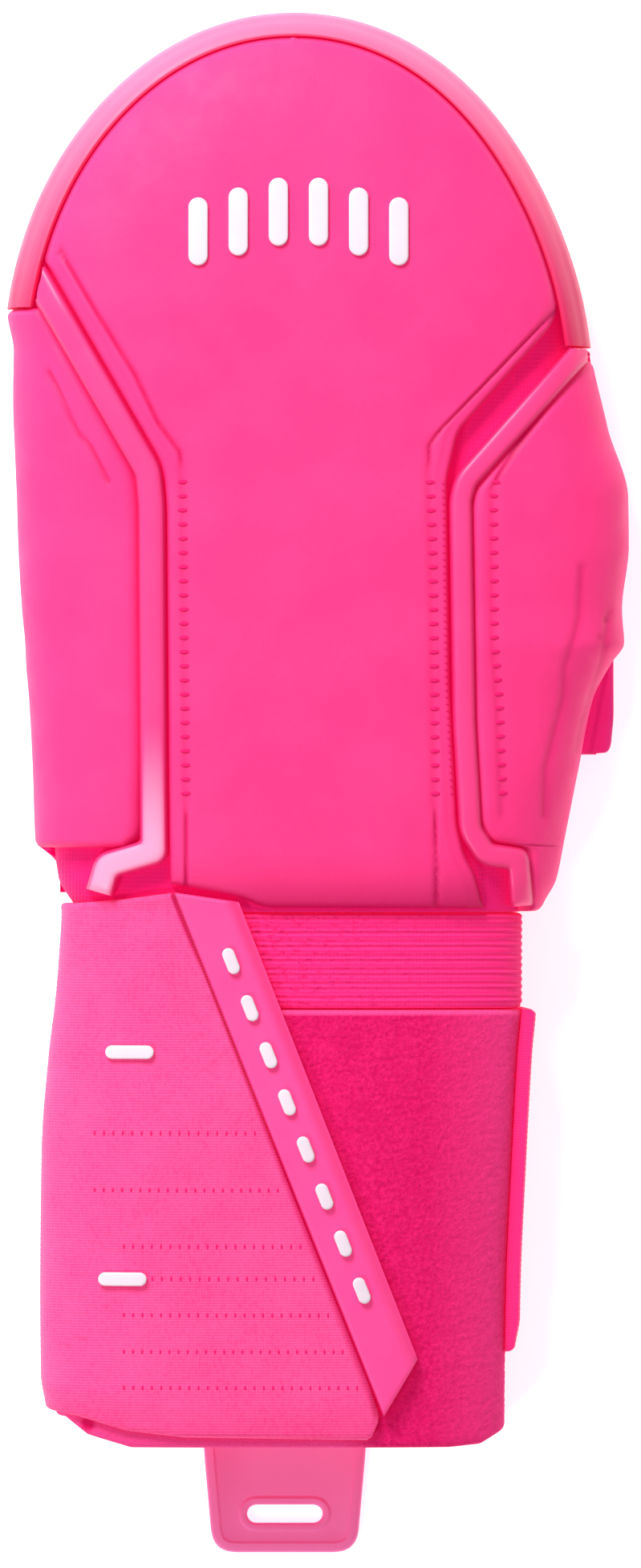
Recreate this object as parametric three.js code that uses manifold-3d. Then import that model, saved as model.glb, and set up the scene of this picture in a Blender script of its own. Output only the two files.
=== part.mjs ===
// Sliding mitt, lying palm down on a surface: fingers towards +Y, thumb towards +X, back of the hand up.
// Millimetres. The origin is the middle of the mitt's outline, on the surface that it lies on.
//
// A hollow core runs the whole length: the padded pocket for the hand, a knitted band at the wrist and
// a sleeve below it. Moulded pads cover the pocket, and a wide elastic strap wraps the sleeve.

import * as THREE from "three";
import Module from "manifold-3d";
import { mergeVertices } from "three/addons/utils/BufferGeometryUtils.js";

const wasm = await Module();
wasm.setup();

// Overall sizes
const handLength = 184.8; // finger tips to the wrist line
const handWidth = 127.2; // across the thumb bulge, over the pads
const handHeight = 37; // over the pads, at the knuckles
const archLength = 85; // the round finger end, from its widest place to the tips
const cuffLength = 109.7; // wrist line to the sleeve's hem
const cuffWidth = 96; // of the sleeve, without the strap
const cuffHeight = 31.5; // of the sleeve's top above the surface

// Walls and layers
const padThickness = 3.6;
const palmThickness = 2.7;
const pocketWall = 3;
const bandWall = 2.2;
const bandLength = 19.8;
const sleeveWall = 3;
const strapThickness = 2.7;
const clearance = 0.3; // between pieces that touch

// Pads and trim
const palmRim = 6.7; // how high the palm piece wraps up the sides
const bumperWidth = 5.4; // seen from above
const leftRibWidth = 5.7;
const rightRibWidth = 4.8;
const ribRise = 0.9; // above the pads
const tabRise = 0.7; // of the strap's end tab above the strap
const strapWrapHeight = 20; // where the strap's hidden end stops on the thumb side
const guardTop = 9;
const guardBottom = 0.8;
const seamTuck = 2; // how far the skins of the pads run below the wrist line
const strapOverlap = 10; // how far the strap's form reaches above it
const palmStrapGap = 1.3; // between the palm piece's end and the strap's edge

// Pull tab
const pullTabReach = 22.9; // past the hem
const pullTabTuck = 7.6; // under the hem
const pullTabWidth = 33.8;
const pullTabThickness = 2.5;
const pullTabCentre = -7.2;
const slotLength = 15.6;
const slotWidth = 3.7;
const slotInset = 8; // from the pull tab's end to the slot's middle

// Raised marks, plain pills
const markRise = 0.9;
const emblemCount = 6;
const emblemPitch = 8.2;
const emblemBarLength = 14;
const emblemBarWidth = 4;
const emblemArch = 5; // how much the middle bars stand further up than the outer ones
const emblemCentre = { across: -0.068, along: 0.752 };
const tabMarkCount = 8;
const tabMarkLength = 5.6;
const tabMarkWidth = 2.6;
const strapMarkLength = 10;
const strapMarkWidth = 2.8;

// Fineness of the surfaces
const sidesAround = 24;
const archRows = 7;
const rowPitch = 10; // longer steps between the hand's sections are halved

const cover = padThickness + clearance;
const coreFloor = Math.max(palmThickness, strapThickness) + clearance;
const tipY = (handLength + cuffLength + pullTabReach) / 2;
const wristY = tipY - handLength;
const archY = tipY - archLength;
const bandEndY = wristY - bandLength;
const hemY = wristY - cuffLength;

// Outline of the hand over its pads. along: share of handLength above the wrist line; left, right: shares
// of half the hand width; top: share of handHeight; waist: height of the widest line, share of the top;
// square: how square the section's shoulders are. Above the arch's foot an ellipse narrows the outline.
const handSections = [
  { along: 1, left: -1.058, right: 0.891, top: 0.89, waist: 0.4, square: 3.2 },
  { along: 0.835, left: -1.062, right: 0.886, top: 0.94, waist: 0.4, square: 3.2 },
  { along: 0.674, left: -1.048, right: 0.893, top: 0.97, waist: 0.4, square: 3.2 },
  { along: 0.621, left: -1.003, right: 0.892, top: 0.98, waist: 0.4, square: 3.2 },
  { along: 0.54, left: -0.99, right: 0.93, top: 0.99, waist: 0.4, square: 3.2 },
  { along: 0.46, left: -0.98, right: 0.998, top: 1, waist: 0.4, square: 3.2 },
  { along: 0.406, left: -0.975, right: 1, top: 1, waist: 0.4, square: 3.2 },
  { along: 0.335, left: -0.963, right: 0.978, top: 1, waist: 0.4, square: 3.2 },
  { along: 0.298, left: -0.953, right: 0.985, top: 1, waist: 0.4, square: 3.2 },
  { along: 0.275, left: -0.95, right: 0.905, top: 0.99, waist: 0.4, square: 3.2 },
  { along: 0.235, left: -0.94, right: 0.868, top: 0.99, waist: 0.4, square: 3.2 },
  { along: 0.156, left: -0.928, right: 0.836, top: 0.98, waist: 0.4, square: 3.2 },
  { along: 0.085, left: -0.921, right: 0.795, top: 0.965, waist: 0.41, square: 3.1 },
  { along: 0.035, left: -0.905, right: 0.765, top: 0.93, waist: 0.43, square: 3 },
];

// Sections of the band and the sleeve. along: share of cuffLength below the wrist line; left, right:
// shares of half the cuff width; top: share of cuffHeight.
const cuffSections = [
  { along: 0, left: -1.045, right: 0.87, top: 0.945, waist: 0.48, square: 2.8 },
  { along: 0.08, left: -1.055, right: 0.868, top: 0.925, waist: 0.5, square: 2.7 },
  { along: 0.16, left: -1.07, right: 0.868, top: 0.945, waist: 0.5, square: 2.7 },
  { along: 0.27, left: -1.1, right: 0.848, top: 0.98, waist: 0.5, square: 2.7 },
  { along: 0.45, left: -1.13, right: 0.825, top: 1, waist: 0.5, square: 2.7 },
  { along: 0.72, left: -1.136, right: 0.798, top: 1, waist: 0.5, square: 2.7 },
  { along: 1, left: -1.13, right: 0.79, top: 0.985, waist: 0.5, square: 2.7 },
];

// Centre lines of the two ribs, from the bumper down to the wrist, in shares of half the hand width and
// of handLength above the wrist line
const leftSeam = [
  { across: -0.895, along: 0.692 },
  { across: -0.552, along: 0.487 },
  { across: -0.541, along: 0.45 },
  { across: -0.533, along: 0.085 },
  { across: -0.575, along: 0.062 },
  { across: -0.684, along: 0.051 },
  { across: -0.709, along: 0.021 },
];
const rightSeam = [
  { across: 0.873, along: 0.632 },
  { across: 0.471, along: 0.477 },
  { across: 0.453, along: 0.456 },
  { across: 0.465, along: 0.21 },
  { across: 0.485, along: 0.09 },
  { across: 0.536, along: 0.063 },
  { across: 0.64, along: 0.058 },
  { across: 0.653, along: 0.006 },
];

// The back pad's thumb side leaves an open groove beside the rib; then its lower edge at the wrist
const backThumbEdge = [
  { across: 0.8, along: 0.692 },
  { across: 0.741, along: 0.646 },
  { across: 0.445, along: 0.531 },
  { across: 0.397, along: 0.478 },
  { across: 0.405, along: 0.25 },
  { across: 0.424, along: 0.076 },
  { across: 0.455, along: 0.046 },
  { across: 0.55, along: 0.003 },
];
const backLowerEdge = [
  { across: -0.178, along: 0.004 },
  { across: -0.256, along: 0.016 },
  { across: -0.45, along: 0.029 },
];
const leftPanelEnd = 0.071; // along, where the left pad stops short of the wrist
const palmCorner = [
  { across: -1.2, along: 0.07 },
  { across: -0.9, along: 0.07 },
  { across: -0.856, along: 0.058 },
  { across: -0.84, along: 0.03 },
];
const bumperEnds = { left: 0.67, right: 0.627 }; // along

// The lower layer that shows beside the thumb
const guardOutline = [
  { across: 0.6, along: 0.33 },
  { across: 0.952, along: 0.33 },
  { across: 0.953, along: 0.215 },
  { across: 0.943, along: 0.18 },
  { across: 0.92, along: 0.174 },
  { across: 0.6, along: 0.176 },
];

// Strap, in shares of half the cuff width and of cuffLength below the wrist line: the end tab's corners,
// the front's edges left of them, and the part behind the sleeve
const tabCorners = {
  topInner: { across: -0.625, along: -0.036 },
  topOuter: { across: -0.345, along: -0.018 },
  bottomOuter: { across: 0.418, along: 0.835 },
  bottomInner: { across: 0.272, along: 0.942 },
};
const strapTopEdge = [
  { across: -1.4, along: -0.015 },
  { across: -1.067, along: -0.015 },
  { across: -0.854, along: -0.023 },
];
const strapLowerEdge = [
  { across: 0.23, along: 0.985 },
  { across: -0.603, along: 0.98 },
  { across: -0.854, along: 0.968 },
  { across: -1.06, along: 0.943 },
  { across: -1.4, along: 0.917 },
];
const hemOutline = [
  { across: -1.4, along: 0.94 },
  { across: -1.1, along: 0.945 },
  { across: -1, along: 0.978 },
  { across: -0.82, along: 1 },
  { across: 0.57, along: 1 },
  { across: 0.7, along: 0.995 },
  { across: 0.8, along: 0.97 },
  { across: 1.1, along: 0.96 },
];
const strapBehind = [
  { across: -1.4, along: -0.015 },
  { across: -0.95, along: -0.015 },
  { across: 1.1, along: 0.203 },
  { across: 1.1, along: 0.812 },
  { across: -0.95, along: 0.91 },
  { across: -1.4, along: 0.917 },
];
const tabMarkEnds = { top: 0.13, bottom: 0.8 }; // shares of the tab's length
const strapMarks = [
  { across: -0.81, along: 0.262 },
  { across: -0.84, along: 0.685 },
];

const looks = {
  pad: { color: 0xfd4f94, roughness: 0.62 },
  rib: { color: 0xff5a9d, roughness: 0.3 },
  rubber: { color: 0xf77fb4, roughness: 0.4 },
  neoprene: { color: 0xe02f74, roughness: 0.85 },
  knit: { color: 0xf03a7c, roughness: 0.9 },
  loop: { color: 0xe82c74, roughness: 0.95 },
  elastic: { color: 0xfb62a2, roughness: 0.8 },
  mark: { color: 0xf6e4f0, roughness: 0.4 },
};

// Places given in shares
const inHand = (row) => [(row.across * handWidth) / 2, wristY + row.along * handLength];
const inCuff = (row) => [(row.across * cuffWidth) / 2, wristY - row.along * cuffLength];

// Core sections by height along Y, from the hem to the tips
const sections = [
  ...[...cuffSections].reverse().map((row) => ({
    y: wristY - row.along * cuffLength,
    left: (row.left * cuffWidth) / 2,
    right: (row.right * cuffWidth) / 2,
    top: row.top * cuffHeight,
    waist: row.waist,
    square: row.square,
  })),
  ...[...handSections].reverse().map((row) => ({
    y: wristY + row.along * handLength,
    left: (row.left * handWidth) / 2 + cover,
    right: (row.right * handWidth) / 2 - cover,
    top: row.top * handHeight - cover,
    waist: row.waist,
    square: row.square,
  })),
];

// Smooth, never overshooting curve through one column of the sections
function column(key, y) {
  const last = sections.length - 1;
  const slope = (i) => (sections[i + 1][key] - sections[i][key]) / (sections[i + 1].y - sections[i].y);
  const tangent = (i) => {
    if (i === 0 || i === last) return 0;
    const before = slope(i - 1);
    const after = slope(i);
    return before * after > 0 ? (2 * before * after) / (before + after) : 0;
  };
  const clamped = Math.min(Math.max(y, sections[0].y), sections[last].y);
  let i = 0;
  while (i < last - 1 && clamped > sections[i + 1].y) i += 1;
  const step = sections[i + 1].y - sections[i].y;
  const t = (clamped - sections[i].y) / step;
  const start = sections[i][key] * (2 * t ** 3 - 3 * t ** 2 + 1) + tangent(i) * step * (t ** 3 - 2 * t ** 2 + t);
  const end = sections[i + 1][key] * (3 * t ** 2 - 2 * t ** 3) + tangent(i + 1) * step * (t ** 3 - t ** 2);
  return start + end;
}

const archRound = 2.05; // the finger end in plan: 2 is an ellipse, more is fuller
const palmSquare = 4.5; // the underside's shoulders are squarer than the back's
const palmPress = 1.05; // how much of the underside is pressed flat

// The core's section at y, with its skin moved outwards by out
function sectionAt(y, out) {
  const rise = Math.min(1, Math.max(0, (y - archY) / (archLength - cover + out)));
  const narrow = (1 - rise ** archRound) ** (1 / archRound);
  const left = column("left", y);
  const right = column("right", y);
  const top = column("top", y);
  return {
    y,
    rise,
    narrow,
    middle: (left + right) / 2,
    half: (right - left) / 2 + out,
    top: top + out,
    floor: Math.max(0, coreFloor - out),
    waist: top * column("waist", y),
    square: column("square", y),
  };
}

// Point of a section: share runs from -1, the left side, to 1, the thumb side
function skinPoint(section, share, above) {
  const reach = (section.rise ** archRound + Math.abs(share * section.narrow) ** archRound) ** (1 / archRound);
  const power = above ? section.square : palmSquare;
  const lift = (1 - Math.min(1, reach) ** power) ** (1 / power);
  const x = section.middle + section.half * section.narrow * share;
  const drop = (section.waist - section.floor) * palmPress * lift;
  const z = above
    ? section.waist + (section.top - section.waist) * lift
    : Math.max(section.floor, section.waist - drop);
  return [x, section.y, z];
}

// Closed ring of points round the section
function ringAt(y, out) {
  const section = sectionAt(y, out);
  const ring = [];
  for (let i = 0; i < sidesAround; i += 1) {
    const angle = (2 * Math.PI * i) / sidesAround;
    const above = i < sidesAround / 2;
    const power = 2 / (above ? section.square : palmSquare);
    const share = Math.sign(Math.cos(angle)) * Math.abs(Math.cos(angle)) ** power;
    ring.push(skinPoint(section, Math.abs(share) < 1e-6 ? 0 : share, above));
  }
  return ring;
}

// Mesh from rings of equal length, each joined to the next
class Net {
  constructor() {
    this.points = [];
    this.faces = [];
  }
  ring(points) {
    const first = this.points.length;
    this.points.push(...points);
    return points.map((_, i) => first + i);
  }
  bridge(a, b) {
    a.forEach((_, i) => {
      const j = (i + 1) % a.length;
      this.faces.push([a[i], a[j], b[j]], [a[i], b[j], b[i]]);
    });
  }
  cap(ring, point) {
    const apex = this.ring([point])[0];
    ring.forEach((_, i) => this.faces.push([ring[i], ring[(i + 1) % ring.length], apex]));
  }
  geometry() {
    const corner = (i) => new THREE.Vector3(...this.points[i]);
    const volume = this.faces.reduce((sum, [a, b, c]) => sum + corner(a).dot(corner(b).cross(corner(c))), 0);
    const faces = volume < 0 ? this.faces.map(([a, b, c]) => [a, c, b]) : this.faces;
    const geometry = new THREE.BufferGeometry();
    geometry.setAttribute("position", new THREE.Float32BufferAttribute(this.points.flat(), 3));
    geometry.setIndex(faces.flat());
    return geometry;
  }
}

const tipPoint = (out) => {
  const section = sectionAt(archY + archLength - cover + out, out);
  return [section.middle, section.y, section.waist];
};

// Rows along Y: even steps up to the arch, then closer ones round the finger end
const steps = (from, to, count) => Array.from({ length: count + 1 }, (_, i) => from + ((to - from) * i) / count);
function archSteps(out, count) {
  const length = archLength - cover + out;
  return Array.from({ length: count }, (_, i) => archY + length * Math.sin((Math.PI * i) / (2 * count)));
}
const palmSteps = [wristY, ...[...handSections].reverse().map((row) => wristY + row.along * handLength)].filter(
  (y) => y < archY - 1,
);
const palmRows = palmSteps.flatMap((y, i) => {
  const next = palmSteps[i + 1] ?? archY;
  return next - y > rowPitch ? steps(y, next, 2).slice(0, -1) : [y];
});
const handRows = (from, out) => [...(from < wristY ? [from] : []), ...palmRows, ...archSteps(out, archRows)];

// Solid form of the hand's end of the core, from a row up to the finger tips
function handForm(from, out) {
  const net = new Net();
  const rings = handRows(from, out).map((y) => net.ring(ringAt(y, out)));
  rings.slice(1).forEach((ring, i) => net.bridge(rings[i], ring));
  const start = sectionAt(from, out);
  net.cap([...rings[0]].reverse(), [start.middle, from, start.waist]);
  net.cap(rings.at(-1), tipPoint(out));
  return net.geometry();
}

// Solid form between two rows
function tubeForm(rows, out) {
  const net = new Net();
  const rings = rows.map((y) => net.ring(ringAt(y, out)));
  rings.slice(1).forEach((ring, i) => net.bridge(rings[i], ring));
  const ends = [sectionAt(rows[0], out), sectionAt(rows.at(-1), out)];
  net.cap([...rings[0]].reverse(), [ends[0].middle, ends[0].y, ends[0].waist]);
  net.cap(rings.at(-1), [ends[1].middle, ends[1].y, ends[1].waist]);
  return net.geometry();
}

// Hollow pocket: outer skin, inner skin, and a rim where the hand goes in
function pocketGeometry() {
  const net = new Net();
  const outer = handRows(wristY, 0).map((y) => net.ring(ringAt(y, 0)));
  const inner = handRows(wristY, -pocketWall).map((y) => net.ring(ringAt(y, -pocketWall)));
  outer.slice(1).forEach((ring, i) => net.bridge(outer[i], ring));
  inner.slice(1).forEach((ring, i) => net.bridge(ring, inner[i]));
  net.cap(outer.at(-1), tipPoint(0));
  net.cap([...inner.at(-1)].reverse(), tipPoint(-pocketWall));
  net.bridge(inner[0], outer[0]);
  return net.geometry();
}

// Open tube with a wall of even thickness
function wallGeometry(rows, out, wall) {
  const net = new Net();
  const outer = rows.map((y) => net.ring(ringAt(y, out)));
  const inner = rows.map((y) => net.ring(ringAt(y, out - wall)));
  outer.slice(1).forEach((ring, i) => net.bridge(outer[i], ring));
  inner.slice(1).forEach((ring, i) => net.bridge(ring, inner[i]));
  net.bridge(inner[0], outer[0]);
  net.bridge(outer.at(-1), inner.at(-1));
  return net.geometry();
}

// Joining and cutting of closed meshes
function solid(geometry) {
  const bare = geometry.clone();
  bare.deleteAttribute("normal");
  bare.deleteAttribute("uv");
  const merged = mergeVertices(bare, 1e-4);
  return new wasm.Manifold(
    new wasm.Mesh({
      numProp: 3,
      vertProperties: new Float32Array(merged.attributes.position.array),
      triVerts: new Uint32Array(merged.index.array),
    }),
  );
}

function geometryOf(shape) {
  const mesh = shape.getMesh();
  const geometry = new THREE.BufferGeometry();
  geometry.setAttribute("position", new THREE.BufferAttribute(new Float32Array(mesh.vertProperties), 3));
  geometry.setIndex(new THREE.BufferAttribute(new Uint32Array(mesh.triVerts), 1));
  return geometry;
}

// Upright prism over a plan outline, between two heights
function prism(outline, bottom, top) {
  const shape = new THREE.Shape(outline.map(([x, y]) => new THREE.Vector2(x, y)));
  const geometry = new THREE.ExtrudeGeometry(shape, { depth: top - bottom, bevelEnabled: false });
  return solid(geometry.translate(0, 0, bottom));
}

// Line moved sideways by a distance, to its right hand side, with its corners kept
function shifted(line, distance) {
  return line.map((point, i) => {
    const before = line[Math.max(0, i - 1)];
    const after = line[Math.min(line.length - 1, i + 1)];
    const into = new THREE.Vector2(point[0] - before[0], point[1] - before[1]).normalize();
    const away = new THREE.Vector2(after[0] - point[0], after[1] - point[1]).normalize();
    if (i === 0) into.copy(away);
    if (i === line.length - 1) away.copy(into);
    const side = new THREE.Vector2(into.y + away.y, -into.x - away.x).normalize();
    const reach = distance / Math.max(0.5, side.x * into.y - side.y * into.x);
    return [point[0] + side.x * reach, point[1] + side.y * reach];
  });
}

// Round ended bar seen from above
function pill(centre, length, width, angle) {
  const shape = [];
  const straight = (length - width) / 2;
  const turns = 4;
  for (const end of [1, -1]) {
    for (let i = 0; i <= turns; i += 1) {
      const bend = (Math.PI * i) / turns - Math.PI / 2;
      const along = end * (straight + (Math.cos(bend) * width) / 2);
      const across = (end * Math.sin(bend) * width) / 2;
      shape.push([
        centre[0] + along * Math.cos(angle) - across * Math.sin(angle),
        centre[1] + along * Math.sin(angle) + across * Math.cos(angle),
      ]);
    }
  }
  return shape;
}

// Cutting shapes run past what they cut
const overrun = 10;
const low = -overrun;
const high = handHeight + overrun;
const wide = handWidth;
const farUp = tipY + overrun;
const cutReach = handWidth / 3;

// Skins over the hand: everything between the pocket and the outside of the pads
const padRoot = wristY - seamTuck;
const pocketClear = solid(handForm(padRoot - overrun, clearance));
const padSkin = solid(handForm(padRoot, cover)).subtract(pocketClear);
const ribSkin = solid(handForm(padRoot, cover + ribRise)).subtract(pocketClear);

// Plan outline of the hand's round end, moved outwards by out, from the left foot over the tip
function archOutline(out) {
  const count = 4 * archRows;
  const tops = steps(-1, 1, 2 * count).map((t) => Math.sin((Math.PI / 2) * (1 - Math.abs(t))));
  return tops.map((rise, i) => {
    const section = sectionAt(archY + (archLength - cover + out) * rise, out);
    const side = i <= count ? -1 : 1;
    return [section.middle + side * section.half * section.narrow, section.y];
  });
}

// The ring in plan that the bumper fills, grown by a margin
function bumperZone(margin) {
  const leftEnd = wristY + bumperEnds.left * handLength - margin;
  const rightEnd = wristY + bumperEnds.right * handLength - margin;
  const field = [
    [-wide, leftEnd],
    [0, leftEnd],
    [0, rightEnd],
    [wide, rightEnd],
    [wide, farUp],
    [-wide, farUp],
  ];
  return prism(field, low, high).subtract(prism(archOutline(cover - bumperWidth - margin), 2 * low, 2 * high));
}
const bumperKeepOut = bumperZone(clearance);
const tipBumper = padSkin.intersect(bumperZone(0));

// Pads on the back of the hand stand above the palm piece's rim
const padFoot = palmRim + clearance;
const leftLine = leftSeam.map(inHand);
const rightLine = rightSeam.map(inHand);
const leftSeamGap = leftRibWidth / 2 + clearance;
const rightSeamGap = rightRibWidth / 2 + clearance;

// A line drawn on from its first point, so that a cut runs clear of the edge
function drawnOn(line, reach) {
  const [first, second] = line;
  const stretch = reach / Math.hypot(first[0] - second[0], first[1] - second[1]);
  return [[first[0] + (first[0] - second[0]) * stretch, first[1] + (first[1] - second[1]) * stretch], ...line];
}

const pad = (skin, outline, foot) => skin.intersect(prism(outline, foot, high)).subtract(bumperKeepOut);
const upperFoot = sectionAt(archY, 0).waist; // what lies on the back only stays above the widest line

const backLeftEdge = drawnOn(shifted(leftLine, -leftSeamGap).slice(0, 4), cutReach);
const backOutline = [
  ...backLeftEdge.reverse(),
  [-wide / 2, farUp],
  [wide / 2, farUp],
  ...drawnOn(backThumbEdge.map(inHand), cutReach),
  ...backLowerEdge.map(inHand),
];
const backPanel = pad(padSkin, backOutline, upperFoot);

const leftPanelEndY = wristY + leftPanelEnd * handLength;
const leftOutline = [
  ...drawnOn(shifted(leftLine, leftSeamGap), cutReach).map(([x, y]) => [x, Math.max(y, leftPanelEndY)]).slice(0, 6),
  [-wide, leftPanelEndY],
  [-wide, farUp],
];
const leftPanel = pad(padSkin, leftOutline, padFoot);

const thumbOutline = [
  ...drawnOn(shifted(rightLine, -rightSeamGap), cutReach),
  [rightLine.at(-1)[0] + rightSeamGap, wristY],
  [wide, wristY],
  [wide, farUp],
];
const thumbPanel = pad(padSkin, thumbOutline, padFoot);

function rib(line, width) {
  const whole = drawnOn(line, cutReach / 2);
  const outline = [...shifted(whole, width / 2), ...shifted(whole, -width / 2).reverse()];
  return pad(ribSkin, outline, upperFoot);
}
const leftRib = rib(leftLine, leftRibWidth);
const rightRib = rib(rightLine, rightRibWidth);

// Palm piece: a flat floor with a low rim, inside the bumper and clear of the strap
const palmEndY = inCuff(strapTopEdge.at(-1))[1] + palmStrapGap;
const palmField = [
  ...palmCorner.map(inHand),
  [(palmCorner.at(-1).across * handWidth) / 2, palmEndY],
  [wide, palmEndY],
  [wide, farUp],
  [-wide, farUp],
];
const palmPad = padSkin.intersect(prism(palmField, low, palmRim)).subtract(bumperKeepOut);

// Layer beside the thumb, outside the pads
const thumbGuard = prism(guardOutline.map(inHand), guardBottom, guardTop).subtract(
  solid(handForm(padRoot, cover + clearance)),
);

// Strap: a wall round the sleeve, open on the thumb side of the front
const strapTop = clearance + strapThickness;
const sleeveRows = [...steps(hemY, bandEndY - clearance, 6), ...steps(bandEndY, wristY, 2)];
const strapRows = [...sleeveRows, wristY + strapOverlap / 2, wristY + strapOverlap];
const strapBore = solid(tubeForm([hemY - overrun, ...strapRows, wristY + strapOverlap + overrun], clearance));
const strapWall = solid(tubeForm(strapRows, strapTop)).subtract(strapBore);
const tabWall = solid(tubeForm(strapRows, strapTop + tabRise)).subtract(strapBore);
const corners = Object.fromEntries(Object.entries(tabCorners).map(([name, row]) => [name, inCuff(row)]));
const strapFront = prism(
  [
    ...strapTopEdge.map(inCuff),
    [corners.topInner[0] - clearance, corners.topInner[1]],
    [corners.bottomInner[0] - clearance, corners.bottomInner[1]],
    ...strapLowerEdge.map(inCuff),
  ],
  sectionAt(hemY, 0).waist,
  high,
);
const strapBack = prism(strapBehind.map(inCuff), low, strapWrapHeight);
const wristStrap = strapWall.intersect(strapFront.add(strapBack));
const strapTab = tabWall.intersect(
  prism([corners.topInner, corners.topOuter, corners.bottomOuter, corners.bottomInner], strapWrapHeight, high),
);

// Sleeve: its hem is cut back at both sides
const sleeveField = [[wide, bandEndY], [-wide, bandEndY], ...hemOutline.map(inCuff)];
const sleeve = solid(wallGeometry(steps(hemY, bandEndY - clearance, 6), 0, sleeveWall)).intersect(
  prism(sleeveField, low, high),
);

// Raised marks follow the surface that they sit on
const markSkin = (form, from) => solid(form(from + clearance + markRise)).subtract(solid(form(from + clearance)));
const handSkin = markSkin((out) => handForm(padRoot, out), cover);
const strapSkin = markSkin((out) => tubeForm(strapRows, out), strapTop);
const tabSkin = markSkin((out) => tubeForm(strapRows, out), strapTop + tabRise);
const mark = (skin, outline) => skin.intersect(prism(outline, strapWrapHeight, high));

function emblemBars() {
  const centre = inHand(emblemCentre);
  return Array.from({ length: emblemCount }, (_, i) => {
    const place = i - (emblemCount - 1) / 2;
    const bow = emblemArch * (1 - (2 * Math.abs(place)) / (emblemCount - 1));
    const spot = [centre[0] + place * emblemPitch, centre[1] + bow];
    return mark(handSkin, pill(spot, emblemBarLength, emblemBarWidth, Math.PI / 2));
  });
}

function tabMarks() {
  const blend = (a, b, t) => [a[0] + (b[0] - a[0]) * t, a[1] + (b[1] - a[1]) * t];
  const start = blend(corners.topInner, corners.topOuter, 0.5);
  const end = blend(corners.bottomInner, corners.bottomOuter, 0.5);
  const angle = Math.atan2(end[1] - start[1], end[0] - start[0]);
  return steps(tabMarkEnds.top, tabMarkEnds.bottom, tabMarkCount - 1).map((t) =>
    mark(tabSkin, pill(blend(start, end, t), tabMarkLength, tabMarkWidth, angle)),
  );
}

// Pull tab: a flat plate with a finger slot, tucked under the sleeve's hem
function pullTabGeometry() {
  const end = hemY - pullTabReach;
  const half = pullTabWidth / 2;
  const endHalf = half * 0.88;
  const round = half * 0.14;
  const plate = new THREE.Shape();
  plate.moveTo(-half, hemY + pullTabTuck);
  plate.lineTo(-half, hemY);
  plate.lineTo(-endHalf, end + round);
  plate.quadraticCurveTo(-endHalf, end, round - endHalf, end);
  plate.lineTo(endHalf - round, end);
  plate.quadraticCurveTo(endHalf, end, endHalf, end + round);
  plate.lineTo(half, hemY);
  plate.lineTo(half, hemY + pullTabTuck);
  const slot = new THREE.Path();
  const reach = (slotLength - slotWidth) / 2;
  slot.absarc(reach, end + slotInset, slotWidth / 2, -Math.PI / 2, Math.PI / 2);
  slot.absarc(-reach, end + slotInset, slotWidth / 2, Math.PI / 2, (3 * Math.PI) / 2);
  plate.holes.push(slot);
  const geometry = new THREE.ExtrudeGeometry(plate, {
    depth: pullTabThickness,
    bevelEnabled: false,
    curveSegments: 5,
  });
  return geometry.translate(pullTabCentre, 0, 0);
}

const mitt = new THREE.Group();

function place(name, geometry, look) {
  const mesh = new THREE.Mesh(geometry, new THREE.MeshStandardMaterial({ ...look, metalness: 0 }));
  mesh.name = name;
  mitt.add(mesh);
}

place("hand_pocket", pocketGeometry(), looks.neoprene);
place("palm_pad", geometryOf(palmPad), looks.neoprene);
place("back_panel", geometryOf(backPanel), looks.pad);
place("left_panel", geometryOf(leftPanel), looks.pad);
place("thumb_panel", geometryOf(thumbPanel), looks.pad);
place("left_rib", geometryOf(leftRib), looks.rib);
place("right_rib", geometryOf(rightRib), looks.rib);
place("tip_bumper", geometryOf(tipBumper), looks.rubber);
place("thumb_guard", geometryOf(thumbGuard), looks.pad);
place("wrist_band", wallGeometry(steps(bandEndY, wristY - clearance, 3), 0, bandWall), looks.knit);
place("cuff_sleeve", geometryOf(sleeve), looks.loop);
place("wrist_strap", geometryOf(wristStrap), looks.elastic);
place("strap_tab", geometryOf(strapTab), looks.rib);
place("pull_tab", pullTabGeometry(), looks.rib);
emblemBars().forEach((bar, i) => place(`emblem_bar_${i + 1}`, geometryOf(bar), looks.mark));
tabMarks().forEach((bar, i) => place(`tab_mark_${i + 1}`, geometryOf(bar), looks.mark));
strapMarks.forEach((row, i) => {
  const bar = mark(strapSkin, pill(inCuff(row), strapMarkLength, strapMarkWidth, 0));
  place(`strap_mark_${i + 1}`, geometryOf(bar), looks.mark);
});

export default mitt;
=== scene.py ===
# Sliding mitt, lying palm down on a pale floor and seen from straight above.
# Metres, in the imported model's frame: +X towards the thumb, +Y towards the finger tips, +Z up.

import math

import bmesh
import bpy
import numpy as np
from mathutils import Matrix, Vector
from mathutils.geometry import delaunay_2d_cdt


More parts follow.
